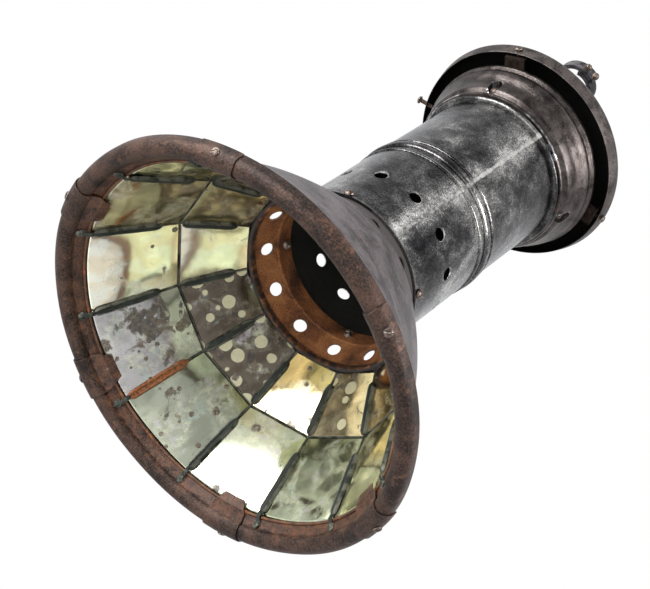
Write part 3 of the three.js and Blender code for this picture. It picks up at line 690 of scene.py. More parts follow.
# aged_metal's numbers: sizes of patch and grain, how metallic, least roughness, depth of the pits
RIM_IRON = rim_rust()
WIRE_RUST = aged_metal("wire_rust", (0.05, 0.024, 0.015), (0.16, 0.075, 0.04), (0.4, 0.26, 0.17),
                       18, 1.6, 0.4, 0.45, 0.2, rusting=0.4)
BELL_IRON = aged_metal("bell_iron", (0.045, 0.038, 0.038), (0.135, 0.115, 0.118), (0.36, 0.33, 0.33),
                       22, 2.0, 0.55, 0.34, 0.42, rusting=0.08)
COLLAR_RUST = collar_rust()
TUBE_METAL = gunmetal()
CAST = aged_metal("cast_brown", (0.032, 0.026, 0.024), (0.105, 0.09, 0.085), (0.5, 0.5, 0.52),
                  14, 1.1, 0.94, 0.14, 0.14, soot_and_shade=True)
HOOD_METAL = aged_metal("hood_metal", (0.018, 0.014, 0.013), (0.1, 0.084, 0.078), (0.45, 0.41, 0.38),
                        26, 1.3, 0.75, 0.3, 0.2, rusting=0.02, soot_and_shade=True)
# Near black and dim: painted shade on the arms in the gap under the hood, with a little rust.
ARM_SHADE_AND_RUST = aged_metal("arm_shade_and_rust", (0.003, 0.002, 0.002), (0.014, 0.009, 0.007), (0.018, 0.012, 0.01),
                      12, 1.2, 0.0, 0.75, 0.2, dimmed_for_shade=True)
STRAP_METAL = aged_metal("strap_metal", (0.006, 0.006, 0.008), (0.034, 0.031, 0.036), (0.16, 0.15, 0.16),
                         20, 1.0, 0.8, 0.32, 0.1)
SCREW_METAL = aged_metal("screw_metal", (0.035, 0.024, 0.02), (0.2, 0.15, 0.125), (0.55, 0.48, 0.42),
                         5, 0.6, 0.8, 0.28, 0.05, rusting=0.1)
CAME_PAINT = aged_metal("came_paint", (0.006, 0.009, 0.007), (0.028, 0.036, 0.029), (0.15, 0.15, 0.12),
                        16, 1.0, 0.3, 0.38, 0.16, rusting=0.06)
CAME_RUST = aged_metal("came_rust", (0.06, 0.028, 0.016), (0.16, 0.075, 0.035), (0.42, 0.24, 0.12),
                       12, 1.0, 0.3, 0.45, 0.15, rusting=0.9)
OLD_BRASS = aged_metal("old_brass", (0.07, 0.045, 0.018), (0.3, 0.21, 0.085), (0.62, 0.48, 0.22),
                       18, 0.8, 0.95, 0.25, 0.04)
VENT_EDGE = aged_metal("vent_edge", (0.25, 0.25, 0.25), (0.6, 0.6, 0.58), (0.7, 0.7, 0.68),
                       6, 0.6, 0.9, 0.25, 0.03)
SOAPSTONE = soapstone()


# ---- screws ----
def threaded_screw(head, rise, tip, shank, pitch=0.9):
    """Round-head screw along +X with its head's underside at 0 and ridges a pitch apart along its shank."""
    outline = [[0, -tip]]
    for base in np.arange(-tip, -pitch, pitch):
        outline += [[shank * 0.84, base], [shank, base + pitch / 2]]
    outline += [[shank, 0], [head * 0.96, 0], [head, 0.25]]
    dome = np.radians(np.linspace(8, 82, 10))
    outline += [[head * cos(t), 0.25 + (rise - 0.25) * sin(t)] for t in dome]
    return moved(turned(outline + [[0, rise]], SMALL), turn(90, "Y"))


def slot_cut(head, rise, angle):
    box = flat_section(head * 0.26, head * 3, 0.05)
    return moved(slab(box, 0, rise * 0.5, rise * 2), turn(angle, "X"))


def nut(radius, start, end):
    chamfer = radius * 0.1
    outline = solid([radius - chamfer, start], [radius, start + chamfer * 0.6],
                    [radius, end - chamfer * 0.6], [radius - chamfer, end])
    return moved(turned(outline, 6), turn(90, "Y"))


def screw(name, node, place, head, rise, tip, shank, slot_angle, nut_span=None, nut_r=0.0, body="lamp"):
    """Slotted screw whose head sits at `place` and looks along its +X. The tip is `tip` behind the seat."""
    shape = moved(threaded_screw(head, rise, tip, shank), place)
    cutter = moved(slot_cut(head, rise, slot_angle), place)
    nodes = (node,) if node else ()
    made = piece(name, shape, SCREW_METAL, nodes, body, cuts=cutter, sharp=32)
    if nut_span:
        attach(made, moved(nut(nut_r, -nut_span[1], -nut_span[0]), place))


def side_screws(base, ending, angles, seat, z, first_slot, slot_step, **sizes):
    """Screws that look out from the axis at the given angles. Each slot stands at an angle of its own."""
    for i, angle in enumerate(angles):
        node = f"{base}_{i + 1:02d}"
        place = turn(angle) @ shift(seat, 0, z)
        screw(f"{node}_{ending}", node, place, slot_angle=first_slot + slot_step * i, **sizes)


# ---- rim, clips and glass ring ----
RIM_DENT = {"depth": 0.9, "size": 70.0, "seed": 1.0}


def rim():
    bead = arc(BEAD_C, BEAD_R, BEAD_R, 180, 360, 24)
    face = [[LIP_R, LIP_Z], [LIP_R + 2.4, LIP_Z - 4.4], [LIP_R + 5.7, 9.6]] + bead + [[MOUTH_R, RIM_TAIL]]
    shape = turned(fine(rounded(sheet(face, SHEET), 0.4, 2), 3.0), 432)
    piece("rim_bead", dented(shape, **RIM_DENT), RIM_IRON, ["rim_ring"])


def clip(number, angle):
    """Bent plate over the bead, ragged at its ends, with a narrower tongue that reaches in over the glass."""
    wrap = arc(BEAD_C, BEAD_R, BEAD_R + GAP, 360, 180, 24)
    tongue = [[LIP_R + 4.9, 9.0], [LIP_R - 0.1, 15.4], [LIP_R - 2.4, 16.2], [LIP_R - 4.2, 19.2],
              [LIP_R - 6.4, 23.4]]
    outline = np.array(sheet([[MOUTH_R + GAP, 13.5]] + wrap + tongue, SHEET))
    half = len(outline) // 2
    steps = 30
    sections = []
    for t in np.linspace(-1, 1, steps + 1):
        ring = []
        for k, (r, z) in enumerate(outline):
            along_path = (k if k < half else len(outline) - 1 - k) / (half - 1)
            narrow = 1 - 0.36 * max(0.0, along_path - 0.88) / 0.12
            ragged = 0.25 * noise.noise(Vector((z * 0.25, t * 1.5 + angle, r * 0.25)))
            wide = (CLIP_HALF * narrow + ragged * abs(t)) * t
            theta = radians(angle + wide)
            ring.append([r * cos(theta), r * sin(theta), z])
        sections.append(ring)
    plate = dented(lofted(sections), **RIM_DENT)
    made = piece(f"clip_plate_{number:02d}", plate, RIM_IRON, [f"rim_clip_{number:02d}"])
    soften(made, 0.35)
    seat = BEAD_R + GAP + SHEET
    place = turn(angle) @ shift(BEAD_C, 0, BEAD_R) @ turn(CLIP_SCREW_TILT, "Y") @ shift(seat, 0, 0)
    screw(f"clip_screw_{number:02d}", None, place, head=3.9, rise=1.9, tip=1.0, shank=1.8,
          slot_angle=25 * number)


def glass_ring():
    """Springy wire with a rough, rusted face that closes the gap between the rim's lip and the mirrors."""
    wire = turned(arc(LIP_R - 0.5, LIP_Z - 0.6, 1.35, 0, 345, 15), 432)
    piece("glass_wire", dented(wire, **RIM_DENT), WIRE_RUST, ["glass_ring"])


# ---- mirrors ----
def slope(start, end, flat):
    """Frame at +X of a pane or a seam: x runs round the lamp, y up the slope, z out through the glass."""
    up = Vector(((end[0] - start[0]) * flat, 0, end[1] - start[1]))
    length = up.length
    up.normalize()
    round_way = Vector((0, 1, 0))
    out = round_way.cross(up)
    matrix = Matrix((round_way, up, out)).transposed().to_4x4()
    matrix.translation = (start[0] * flat, 0, start[1])
    return matrix, length


GLASS_FOOT_R = LIP_R - 1.7  # circle that the outer panes' lower edges follow


def pane(start, end, seed, foot_r=None):
    """Glass pane with ground edges, slightly crowned and wavy. Its foot can bend out to a circle."""
    flat = cos(radians(HALF_SECTOR))
    matrix, length = slope(start, end, flat)
    half_low, half_high = (corner[0] * sin(radians(HALF_SECTOR)) - 0.8 for corner in (start, end))
    steps = 26
    ground = 0.9 / length
    shares = np.concatenate([[0], np.linspace(ground, 1 - ground, steps), [1]])
    front, back = [], []
    for v in shares:
        half = half_low + (half_high - half_low) * v
        for u in shares:
            x, y = (2 * u - 1) * half, v * length
            edge = 0.55 if min(u, v, 1 - u, 1 - v) == 0 else 0.0
            crown = 0.55 * (1 - (2 * u - 1) ** 2) * (1 - (2 * v - 1) ** 2)
            wave = 0.16 * noise.noise(Vector((x / 34, y / 34, seed * 9.7)))
            flare = (sqrt(foot_r**2 - x**2) - start[0] * flat) * (1 - v) ** 3 if foot_r else 0.0
            y += flare * matrix[0][1]
            z = flare * matrix[0][2]
            front.append([x, y, z + edge - crown + wave])
            back.append([x, y, z + GLASS])
    side = len(shares)
    faces = grid_faces(side, side, False, False)
    faces += [[i + side * side for i in face] for face in grid_faces(side, side, False, False)]
    places = np.arange(side * side).reshape(side, side)
    border = [*places[0], *places[1:, -1], *places[-1, -2::-1], *places[-2:0:-1, 0]]
    faces += [[a, b, b + side * side, a + side * side] for a, b in zip(border, border[1:] + border[:1])]
    return moved((np.array(front + back), faces), matrix)


OLIVE = (0.33, 0.3, 0.14)
MOSS = (0.44, 0.43, 0.24)
GREEN = (0.44, 0.48, 0.32)
PALE = (0.5, 0.53, 0.42)
SAGE = (0.36, 0.38, 0.29)
MAUVE = (0.4, 0.39, 0.38)
CREAM = (0.95, 0.85, 0.64)
GOLD = (0.68, 0.56, 0.32)
STRAW = (0.48, 0.41, 0.25)
# Dark brown tint of some inner panes: a painted reflection of the dark collar, under the painted hole
# reflections.
UMBER = (0.07, 0.053, 0.036)

# tint, bloom, blots, spots and discs of each pane, counted round from the one at 21 degrees; the discs are
# painted reflections of the collar's air holes
OUTER_LOOKS = [(GREEN, 0.7, 0.1, 0.12, 0), (PALE, 0.9, 0.1, 0.14, 0), (SAGE, 0.7, 0.3, 0.6, 0),
               (MAUVE, 0.7, 0.5, 0.8, 0), (CREAM, 0.3, 0.2, 0.05, 0), (STRAW, 0.45, 0.15, 0.03, 0),
               (MOSS, 0.4, 0.3, 0.2, 0), (PALE, 0.6, 0.2, 0.1, 0), (OLIVE, 0.4, 0.4, 0.2, 0),
               (GREEN, 0.5, 0.2, 0.3, 0), (GREEN, 0.6, 0.1, 0.1, 0), (MOSS, 0.5, 0.1, 0.1, 0)]
INNER_LOOKS = [(STRAW, 0.3, 0.5, 0.05, 0.3), (GOLD, 0.4, 0.4, 0.1, 0), (UMBER, 0.4, 0.6, 0.1, 0.8),
               (UMBER, 0.4, 0.6, 0.1, 0.6), (CREAM, 0.1, 0.25, 0.03, 0), (STRAW, 0.3, 0.45, 0.06, 0),
               (UMBER, 0.3, 0.3, 0.2, 0.3), (GOLD, 0.3, 0.2, 0.1, 0), (OLIVE, 0.3, 0.3, 0.2, 0.2),
               (GREEN, 0.4, 0.2, 0.2, 0), (GOLD, 0.2, 0.2, 0.1, 0.2), (GOLD, 0.3, 0.35, 0.05, 0)]


def along(start, end, gap):
    """A tier's corner, moved a gap along its slope from start towards end."""
    length = hypot(end[0] - start[0], end[1] - start[1])
    return tuple(a + (b - a) * gap / length for a, b in zip(start, end))


def mirrors():
    tiers = {
        "outer": (along(TIER_BOTTOM, TIER_JOINT, -3.3), along(TIER_JOINT, TIER_BOTTOM, 0.7), OUTER_LOOKS),
        "inner": (along(TIER_JOINT, TIER_TOP, 0.7), TIER_TOP, INNER_LOOKS),
    }
    for tier, (start, end, looks) in tiers.items():
        for i, look in enumerate(looks):
            seed = i + (20 if tier == "inner" else 0)
            number = f"{tier}_{i + 1:02d}"
            material = old_mirror(f"mirror_{number}", *look, seed)
            angle = SEAM_TURN + HALF_SECTOR + i * 360 / PANES
            shape = moved(pane(start, end, seed, GLASS_FOOT_R if tier == "outer" else None), turn(angle))
            piece(f"pane_{number}", shape, material, [f"mirror_{number}"], sharp=20)


# ---- cames: two-ridged strips over the seams, with a bent tab at the rim ----
CAME_HALF = 4.2
CAME_SIDE = [(1.0, -0.7), (0.9, -2.0), (0.58, -3.4), (0.2, -2.3)]  # shares of the half width, and heights
CAME_SECTION = [(-x, z) for x, z in CAME_SIDE] + CAME_SIDE[::-1]


def strip(start, end, share_from, share_to, angle, seed):
    matrix, length = slope(start, end, 1.0)
    low_end, high_end = share_from * length, share_to * length
    nose = 6.5
    stations = [(low_end, 0.55), (low_end + 2.5, 0.9), (low_end + 5, 1.0)]
    stations += [(y, 1.0) for y in np.linspace(low_end + 9, high_end - nose, 10)]
    stations += [(high_end - nose * 0.4, 0.72), (high_end, 0.2)]
    rings = []
    for y, width in stations:
        bend = 0.35 * noise.noise(Vector((y / 16, seed * 3.3, 0)))
        lift = 0.25 + 0.75 * min(1, width * 1.1)
        rings.append([[x * CAME_HALF * width + bend, y, -0.7 + (z + 0.7) * lift] for x, z in CAME_SECTION])
    return moved(lofted(rings), turn(angle) @ matrix)


def seam_web(start, end, angle):
    matrix, length = slope(start, end, 1.0)
    section = [(-0.45, -0.55), (0.45, -0.55), (0.45, 1.5), (-0.45, 1.5)]
    return moved(slab(section, 1, 0, length), turn(angle) @ matrix)


def came_tail(angle, seed):
    """Narrow end of a strip, carried over the wire to the rim's band and hammered down there in a lump."""
    r, z = LIP_R, LIP_Z
    route = [[r - 5.0, z + 4.5], [r - 3.6, z - 1.2], [r - 1.4, z - 3.4], [r + 1.8, z - 5.8],
             [r + 3.6, z - 7.2]]
    section = rounded([[0.6, 1.9], [-0.6, 1.9], [-0.6, -1.9], [0.6, -1.9]], 0.3)
    tail = swept([[x, 0, height] for x, height in curve(route, 1.0)], section, (0, 1, 0))
    points, faces = turned([[0, -0.9], [3.0, -0.8], [3.7, 0.0], [3.0, 1.2], [1.5, 2.0], [0, 2.2]], 28)
    points = points * np.array([1.3, 0.95, 1.0])
    for point in points:
        point += 0.95 * np.array(noise.noise_vector(Vector(point) / 2.0 + Vector((seed * 5.1, 0, 0))))
    head = moved((points, faces), shift(r + 3.0, 0, z - 6.2) @ turn(-122, "Y"))
    return moved(merged(tail, head), turn(angle))


def cames():
    dark, rusty = [], []
    for i, angle in enumerate(evenly(PANES, SEAM_TURN)):
        lower = strip(TIER_BOTTOM, TIER_JOINT, -0.02, 0.78, angle, i)
        upper = strip(TIER_JOINT, TIER_TOP, 0.04, 0.82, angle, i + 20)
        (rusty if i == 3 else dark).append(lower)
        dark += [upper, seam_web(TIER_BOTTOM, TIER_JOINT, angle), seam_web(TIER_JOINT, TIER_TOP, angle)]
    dark += [came_tail(angle, i) for i, angle in enumerate(evenly(PANES, SEAM_TURN))]
    r, z = TIER_JOINT
    joint = [[r - 0.9, z - 0.3], [r + 1.7, z + 0.9], [r + 1.4, z + 1.3], [r - 1.2, z + 0.1]]
    dark.append(moved(turned(joint, PANES), turn(SEAM_TURN)))
    piece("seam_cames", merged(*dark), CAME_PAINT, ["came_frame"])
    piece("rusty_came", merged(*rusty), CAME_RUST)


# ---- bell and collar ----
COLLAR_BOLTS = evenly(4, 45)


def collar_bolt_holes():
    return at_each(COLLAR_BOLTS, bar(2.6, 66, 84, COLLAR_BOLT_Z))


def bell():
    flank = curve([[184.5, 17.6], [170.5, 37], [152.2, 65.2], [135.6, 94], [115.8, 122.5],
                   [94, BELL_TOP - 1.6]])
    foot = MOUTH_R - SHEET - GAP
    path = [[foot, 12], [foot, 15.2]] + flank + [[92.4, BELL_TOP], [84.9, BELL_TOP]]
    shape = turned(rounded(sheet(path, 1.0), 0.35, 2), SEGMENTS)
    piece("bell", dented(shape, 0.8, 90, 1.0), BELL_IRON, ["bell_shell"])


COLLAR_DENT = {"depth": 0.3, "size": 60.0, "seed": 2.0}


def collar():
    neck = TUBE_R - SHEET - GAP - 1.5
    cone = [[74.8, 174.4], [83, 153.8]]
    face = [[neck, COLLAR_TOP], [neck, 177], [neck + 0.3, 175.6], *cone, [82.9, 151.2], [82.6, 148.2],
            [83.2, 146.6], [COLLAR_R, 146.4]]
    shape = turned(fine(rounded(sheet(face, 1.5), 0.5, 3), 3.5), SEGMENTS)
    lean = degrees(atan2(cone[1][0] - cone[0][0], cone[0][1] - cone[1][1]))
    drill = moved(bar(VENT_R, -7, 7), shift(COLLAR_VENT[0], 0, COLLAR_VENT[1]) @ turn(-lean, "Y"))
    cuts = merged(at_each(evenly(VENTS, VENT_TURN), drill), collar_bolt_holes())
    piece("collar", dented(shape, **COLLAR_DENT), COLLAR_RUST, ["vent_collar"], cuts=cuts)


# ---- tube ----
TUBE_DENT = {"depth": 0.7, "size": 55.0, "seed": 2.0}


def solder_ridge(shape):
    """Raises the outside of a tube along its seam at -Y, unevenly, as hand-run solder is."""
    points, faces = shape
    for point in points:
        x, y, z = point
        reach = hypot(x, y)
        if y < 0 and abs(x) < 6 and reach > TUBE_R - 0.6:
            run = 0.6 + 0.7 * noise.noise(Vector((0, 0, z / 9)))
            run += 0.35 * noise.noise(Vector((x / 3, 9, z / 3)))
            point[:2] *= 1 + 0.6 * max(0.0, run) * exp(-((x / 1.8) ** 2)) / reach
    return points, faces


def tube_outline(beads, foot, top):
    """Outer face of a tube from foot to top, with half-round beads given as (height, radius, half height)."""
    path = [[TUBE_R, foot]]
    for z, r, half in beads:
        path += [[TUBE_R, z - half]]
        path += [[TUBE_R + (r - TUBE_R) * sin(t) ** 0.8, z - half * cos(t)]
                 for t in np.linspace(0.25, pi - 0.25, 9)]
        path += [[TUBE_R, z + half]]
    return path + [[TUBE_R, top]]


def tube():
    spigot = TUBE_R - SHEET - GAP
    bore = TUBE_R - SHEET
    joint = TUBE_JOINT - GAP
    outer = tube_outline([(joint - 2.1, TUBE_R + 1.3, 1.6)], TUBE_FOOT + 2.6, joint - 0.3)
    lip = [[TUBE_LIP_R, TUBE_FOOT + 0.4]]
    inner = [[spigot, joint], [spigot, SPIGOT_TOP], [spigot - SHEET, SPIGOT_TOP], [spigot - SHEET, joint + 1],
             [bore, joint - 2], [bore, TUBE_FOOT + 2], [bore + 0.7, TUBE_FOOT]]
    lower = turned(fine(lip + outer + inner, 3.0), 360)
    vents = at_each(evenly(VENTS, VENT_TURN), bar(VENT_R, 68, 84, TUBE_VENT_Z))
    made = solder_ridge(dented(lower, **TUBE_DENT))
    lower_tube = piece("tube_with_vents", made, TUBE_METAL, ["tube_lower"],
                       cuts=merged(vents, collar_bolt_holes()), cut_material=VENT_EDGE)
    soften(lower_tube, 0.45, 2, 1)

    beads = [(TUBE_JOINT + 10.8, TUBE_R + 2.6, 4.6), (TUBE_JOINT + 20.1, TUBE_R + 1.6, 2.6),
             (STOP_Z, STOP_R, 3.2)]
    outline = tube_outline(beads, TUBE_JOINT, TUBE_TOP) + [[bore, TUBE_TOP], [bore, TUBE_JOINT]]
    upper = solder_ridge(dented(turned(fine(outline, 3.0), 360), **TUBE_DENT))
    holes = at_each(SHOULDER_SCREWS, bar(2.4, 68, 84, SHOULDER_SCREW_Z))
    piece("tube_with_beads", upper, TUBE_METAL, ["tube_upper"], cuts=holes)


# ---- shoulder and hood ----
def shoulder():
    seat = TUBE_R + GAP
    foot = SHOULDER_FOOT
    swell = curve([[83.3, foot + 4.2], [87, foot + 7.2], [88.8, foot + 12.6], [90.4, foot + 20.6],
                   [94.6, foot + 28], [96.3, foot + 33.6], [95.5, foot + 36.8]], 1.5)
    brim = [[98.3, foot + 40.2], [98.3, foot + 43.6], [96.6, foot + 45.4], [94.6, foot + 43.6]]
    under = [[92.6, foot + 32.6], [87.5, foot + 22.2], [seat, foot + 22.2]]
    outline = [[seat, foot], [83.6, foot], [84.3, foot + 2.2]] + swell + brim + under
    shape = dented(turned(rounded(outline, 0.5, 2), SEGMENTS), 0.35, 50, 3.0)
    pockets = at_each(SHOULDER_SCREWS, obround_pocket())
    made = piece("shoulder_ring", shape, CAST, ["shoulder"], cuts=pockets)
    carve(made, at_each(SHOULDER_SCREWS, bar(2.4, 70, 84, SHOULDER_SCREW_Z)))
    soften(made, 0.25)
    piece("hood_arms", at_each(HOOD_SCREWS, hood_arm()), ARM_SHADE_AND_RUST)


def obround_pocket():
    """Cutter for a screw's pocket, round at its top and foot."""
    radius, half = 6.2, 2.5
    loop = arc(0, SHOULDER_SCREW_Z + half, radius, 0, 180, 16)
    loop += arc(0, SHOULDER_SCREW_Z - half, radius, 180, 360, 16)
    return slab(loop, 0, POCKET_FLOOR, 97.0)


def hood_arm():
    """Bent strip under the hood: a leg inside the ring, a plate over it and a tab behind the hood's rim."""
    path = [[92.9, 465], [92.9, 470.2], [93.8, 471.3], [106.2, 471.3], [107.3, 472.4], [107.3, 482.4]]
    half_width = 11.0
    return slab(rounded(sheet(path, 1.6), 0.4, 2), 1, -half_width, half_width)


def hood():
    top = [[5.8, HOOD_TOP], [20, HOOD_TOP], [26, HOOD_TOP - 2.8], [70, HOOD_TOP - 8],
           [110.6, HOOD_TOP - 13.6]]
    rim_band = [[HOOD_R - 1.2, HOOD_TOP - 14.6], [HOOD_R - 0.2, HOOD_TOP - 16.4], [HOOD_R, HOOD_TOP - 19]]
    path = (top + rim_band + [[HOOD_R - 3, HOOD_EDGE]])[::-1]
    shape = dented(turned(fine(rounded(sheet(path, 1.5), 0.5, 3), 5.0), SEGMENTS), 0.5, 60, 4.0)
    holes = at_each(HOOD_SCREWS, bar(2.4, 106, 120, HOOD_SCREW_Z))
    cuts = merged(holes, at_each([SET_SCREW_TURN], bar(2.8, 106, 120, SET_SCREW_Z)))
    piece("smoke_hood", shape, HOOD_METAL, ["hood"], cuts=cuts)


def body_screws():
    side_screws("collar_bolt", "screw", COLLAR_BOLTS, TUBE_R + GAP, COLLAR_BOLT_Z, 35, 50,
                head=4.6, rise=2.9, tip=9.2, shank=2.1, nut_span=(3.6, 7.4), nut_r=4.4)
    side_screws("shoulder_screw", "slotted", SHOULDER_SCREWS, POCKET_FLOOR + GAP, SHOULDER_SCREW_Z, 60, 70,
                head=5.3, rise=4.6, tip=9.9, shank=1.9)
    side_screws("hood_screw", "slotted", HOOD_SCREWS, HOOD_R, HOOD_SCREW_Z, 20, 80,
                head=4.2, rise=2.6, tip=12.2, shank=1.9, nut_span=(8.5, 11.0), nut_r=3.8)
    place = turn(SET_SCREW_TURN) @ shift(SET_SCREW_SEAT, 0, SET_SCREW_Z)
    screw("set_screw_slotted", "hood_set_screw", place, head=4.3, rise=2.7, tip=22, shank=2.3, slot_angle=50)


# ---- hanging loop ----
STRAP = 4.6
STRAP_WIDTH = 12.7
ARCH_R = 16.0
LOOP_REACH = 60.0  # pin to the centre of the arch
EYE_R = 8.2
PIN_R = 4.0
FORK_TURN = -21.0
LOOP_LEAN = 93.0  # down from upright, at rest
CROWN_SCREWS = (4.0, 29.0)
AT_PIN = shift(*PIVOT) @ turn(FORK_TURN)
PIN_BORE = bar(PIN_R + GAP, -30, 30, count=48)


def half_strap(side, arch_r, arch_to):
    """One strap in the loop's upright frame, and the eye at its foot round the pin, which lies along X."""
    middle = ARCH_R + STRAP / 2
    path = curve([[middle, 0], [middle, 25], [middle, LOOP_REACH - 12], [arch_r, LOOP_REACH - 4]], 3)
    path += arc(0, LOOP_REACH, arch_r, 0, arch_to, 30)
    strap = swept([[side * x, 0, z] for x, z in path], flat_section(STRAP, STRAP_WIDTH, 0.9), (0, 1, 0))
    half = STRAP / 2
    disc = rounded(plug(EYE_R, middle - half, middle + half), 0.5)
    return strap, moved(turned(disc, 48), turn(90 * side, "Y"))


def hanging_loop():
    place = AT_PIN @ turn(LOOP_LEAN, "X")
    sides = {"left": (-1, ARCH_R + STRAP * 1.5 + GAP, 128), "right": (1, ARCH_R + STRAP / 2, 102)}
    for name, (side, arch_r, arch_to) in sides.items():
        strap, eye = half_strap(side, arch_r, arch_to)
        made = piece(f"{name}_strap", moved(strap, place), STRAP_METAL, [f"loop_strap_{name}"],
                     "hanging_loop", cuts=moved(PIN_BORE, place), joins=[moved(eye, place)])
        soften(made, 0.3)
    for i, angle in enumerate(CROWN_SCREWS):
        seat = ARCH_R + 2 * STRAP + GAP + 0.2
        at_crown = place @ shift(0, 0, LOOP_REACH) @ turn(angle, "Y") @ shift(0, 0, seat) @ turn(-90, "Y")
        node = f"loop_screw_{i + 1:02d}"
        screw(f"{node}_slotted", node, at_crown, head=4.1, rise=5.4, tip=10.6, shank=1.55,
              slot_angle=90 - 40 * i, body="hanging_loop")


# ---- top fitting, cock, pipe and burner ----
def upright(*points, count=48):
    return turned(rounded(solid(*points), 0.6), count)


def head_fitting():
    block = upright([12, 508], [12, 512], [11, 514], [11, 536], [12, 538], [12, 541], [10, 544])
    foot, top = HOOD_TOP + GAP, HOOD_TOP + 8.3
    nut_outline = solid([13.8, foot], [15, foot + 1.1], [15, top - 1.3], [13.8, top])
    nut_shape = turned(rounded(nut_outline, 0.3), 6)
    arm = moved(upright([8, 0], [8, 18.5], [8.6, 19.5], [8.6, 22]), shift(0, 0, COCK.z) @ turn(-90, "X"))
    reach = ARCH_R - GAP
    saddle = moved(slab(flat_section(2 * reach, 17, 2), 2, 541.6, 547.4), turn(FORK_TURN))
    ear = [[8.5, -15], *arc(0, 0, 8.5, 0, 180, 24), [-8.5, -15]]
    ears = [moved(slab(ear, 0, side * (reach - 4), side * reach), AT_PIN) for side in (-1, 1)]
    cuts = merged(moved(PIN_BORE, AT_PIN), turned(plug(4.9, 500, 512), SMALL))
    made = piece("fork_block", block, CAST, ["head_fitting"], cuts=cuts,
                 joins=[nut_shape, arm, saddle, *ears])
    soften(made, 0.5, 3)


def loop_pin():
    seat = ARCH_R + STRAP + GAP
    reach = seat + 2.4
    end = [[PIN_R, seat], [6, seat], [6, reach - 0.8], [5.4, reach]]
    outline = solid(*[[r, -x] for r, x in end[::-1]], *end)
    piece("riveted_pin", moved(turned(rounded(outline, 0.25), 48), AT_PIN @ turn(90, "Y")), SCREW_METAL,
          ["loop_pin"])


def cock():
    ribs = [[6.8, 76], [5.2, 77], [6.8, 83], [5.2, 84], [6.8, 90], [5, 94]]
    run = [[10, 22.4], [10, 29], [6.6, 31], [6.6, 62], [9.4, 64], [9.4, 69], [5.4, 71]] + ribs
    outline = solid(*run, [2.4, 94], [2.4, 70])
    body = moved(turned(rounded(outline, 0.35), 48), shift(0, 0, COCK.z) @ turn(-90, "X"))
    barrel = upright([9.6, -13.5], [10, -12], [9.2, 10], [9.8, 11], [9.8, 13.5])
    made = piece("cock_with_nozzle", body, OLD_BRASS, ["cock_body"],
                 cuts=moved(turned(plug(6, -20, 20), 48), shift(*COCK)), joins=[moved(barrel, shift(*COCK))])
    soften(made, 0.3)
    key = solid([7.4, -18.4], [7.4, -13.9], [5.7, -13.9], [5.7, 14], [7, 14], [7, 17], [4, 19], [4, 23])
    wing = []
    for x in np.linspace(-16, 16, 33):
        if abs(x) < 11:
            waist = 0.55 + 0.45 * (abs(x) / 11) ** 1.5
        else:
            waist = sqrt(max(0.02, 1 - ((abs(x) - 11) / 5.2) ** 2))
        wing.append([[x, y * 2.2, 24 + z * 4.2 * waist] for y, z in round_section(1.0, 24)])
    made = piece("cock_tap", moved(turned(rounded(key, 0.4), 48), shift(*COCK)), OLD_BRASS,
                 ["cock_key"], "cock_key", joins=[moved(lofted(wing), shift(*COCK))])
    soften(made, 0.3)


PIPE_R = 4.6
BURNER_Z = 213.0


def gas_pipe():
    route = [[0, 509.5], [0, 430], [0, 350], [-8, 315], [-26, 285], [-33, 255], [-32, 220], [-25, 203],
             [-13, 196.5], [-3, 200.5], [0, 207.5], [0, BURNER_Z]]
    pipe = swept(curve([[0, y, z] for y, z in route], 3), round_section(PIPE_R), (1, 0, 0))
    union = turned(rounded(plug(8.2, 424, 438), 0.8), 6)
    foot = BURNER_Z - 7
    elbow = upright([6, foot], [6.4, foot + 2], [6.4, BURNER_Z])
    piece("pipe_run", pipe, OLD_BRASS, ["gas_pipe"], joins=[union, elbow])


def burner():
    stem = upright([6, BURNER_Z + GAP], [5.6, BURNER_Z + 5], [5, BURNER_Z + 9.3])
    arm = turned(plug(3, 0, 17), SMALL)
    tip = upright([4.2, 0], [4.2, 3], [3.6, 4], [3.6, 6], [2.6, 12.4], [1.6, 13], count=SMALL)
    joins = []
    for side in (-1, 1):
        joins.append(moved(arm, shift(0, 0, BURNER_Z + 6) @ turn(52 * side, "Y")))
        joins.append(moved(tip, shift(13 * side, 0, BURNER_Z + 14.5) @ turn(-38 * side, "Y")))
    piece("twin_tip_burner", stem, SOAPSTONE, ["burner"], joins=joins)


# ---- stage ----
TARGET = Vector((0.0073, 0.0, 0.142 + STAND * MM))
EYE = Vector((0.0, -0.9636, -0.7577 + STAND * MM))
ROLL = 55.0


def camera():
    data = bpy.data.cameras.new("camera")
    data.lens = 82.4
    data.sensor_width = 36
    made = put("camera", data)
    level = (TARGET - EYE).to_track_quat("-Z", "Y")
    made.rotation_mode = "QUATERNION"
    made.rotation_quaternion = level @ Quaternion((0, 0, 1), radians(ROLL))
    made.location = EYE
    bpy.context.scene.camera = made
    return made


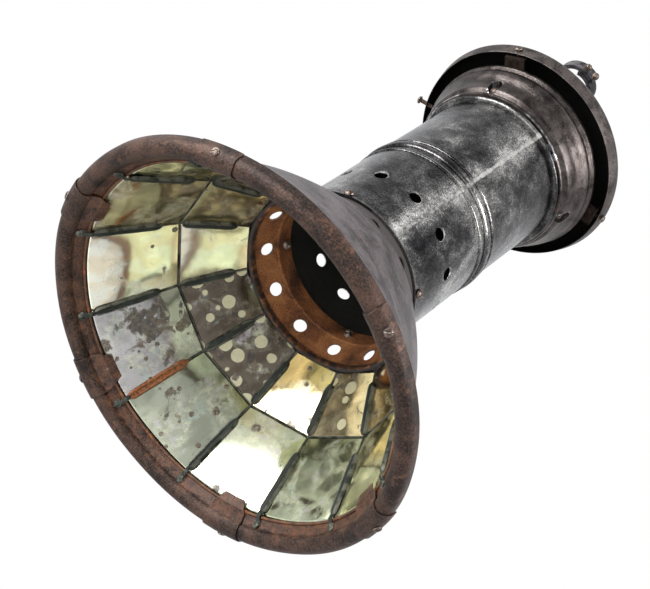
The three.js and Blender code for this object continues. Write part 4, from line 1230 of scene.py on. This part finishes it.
def softbox(name, direction, distance, size, power, seen_from):
    """Square light that looks at the lamp from a direction given in the camera's own axes."""
    turned_way = seen_from.rotation_quaternion @ Vector(direction).normalized()
    data = bpy.data.lights.new(name, "AREA")
    data.size = size
    data.energy = power
    made = put(name, data)
    made.location = TARGET + turned_way * distance
    made.rotation_mode = "QUATERNION"
    made.rotation_quaternion = turned_way.to_track_quat("Z", "Y")


def sky(forward):
    """White behind the lamp and in sight, greyer on the camera's side, where a studio's room is."""
    world = bpy.data.worlds.new("studio")
    bpy.context.scene.world = world
    p = Paint("studio", world)
    way = p.node("TexCoord", {})
    ahead = p.node("VectorMath", {0: way, 1: forward}, 1, operation="DOT_PRODUCT")
    spread = {"Value": ahead, "From Min": -0.8, "From Max": 0.6, "To Min": 0.16, "To Max": 1.05}
    strength = p.node("MapRange", spread)
    room = p.node("Background", {"Color": (0.97, 0.98, 1.0), "Strength": strength})
    white = p.node("Background", {"Color": (1.0, 1.0, 1.0)})
    in_sight = p.node("LightPath", {})
    p.end(p.node("MixShader", {0: in_sight, 1: room, 2: white}), "World")


FLOOR_DROP = 1.2


def pale_floor():
    p = Paint("floor")
    skin = p.mix(p.noise(400), (0.8, 0.8, 0.79), (0.86, 0.86, 0.85))
    seen_from_above = p.rest(p.geometry("Backfacing"))
    material = p.finish(base_color=skin, roughness=0.9, alpha=seen_from_above)
    mesh = bpy.data.meshes.new("floor")
    reach = 6.0
    corners = [(-reach, -reach), (reach, -reach), (reach, reach), (-reach, reach)]
    mesh.from_pydata([(x, y, -FLOOR_DROP) for x, y in corners], [], [(0, 1, 2, 3)])
    mesh.materials.append(material)
    put("floor", mesh)


def stage():
    eye = camera()
    sky(tuple((TARGET - EYE).normalized()))
    softbox("key", (-0.5, 0.9, 0.5), 1.8, 1.2, 60, eye)
    softbox("side", (1.0, -0.1, 0.35), 1.8, 0.8, 34, eye)
    softbox("front", (-0.4, -0.5, 1.0), 2.2, 1.0, 26, eye)
    softbox("edge", (0.9, 0.75, 0.1), 1.8, 0.45, 2, eye)
    pale_floor()
    bpy.context.scene.view_settings.view_transform = "Standard"


rim()
for number, angle in enumerate(evenly(CLIPS, CLIP_TURN), 1):
    clip(number, angle)
glass_ring()
mirrors()
cames()
bell()
collar()
tube()
shoulder()
hood()
body_screws()
hanging_loop()
head_fitting()
loop_pin()
cock()
gas_pipe()
burner()
stage()
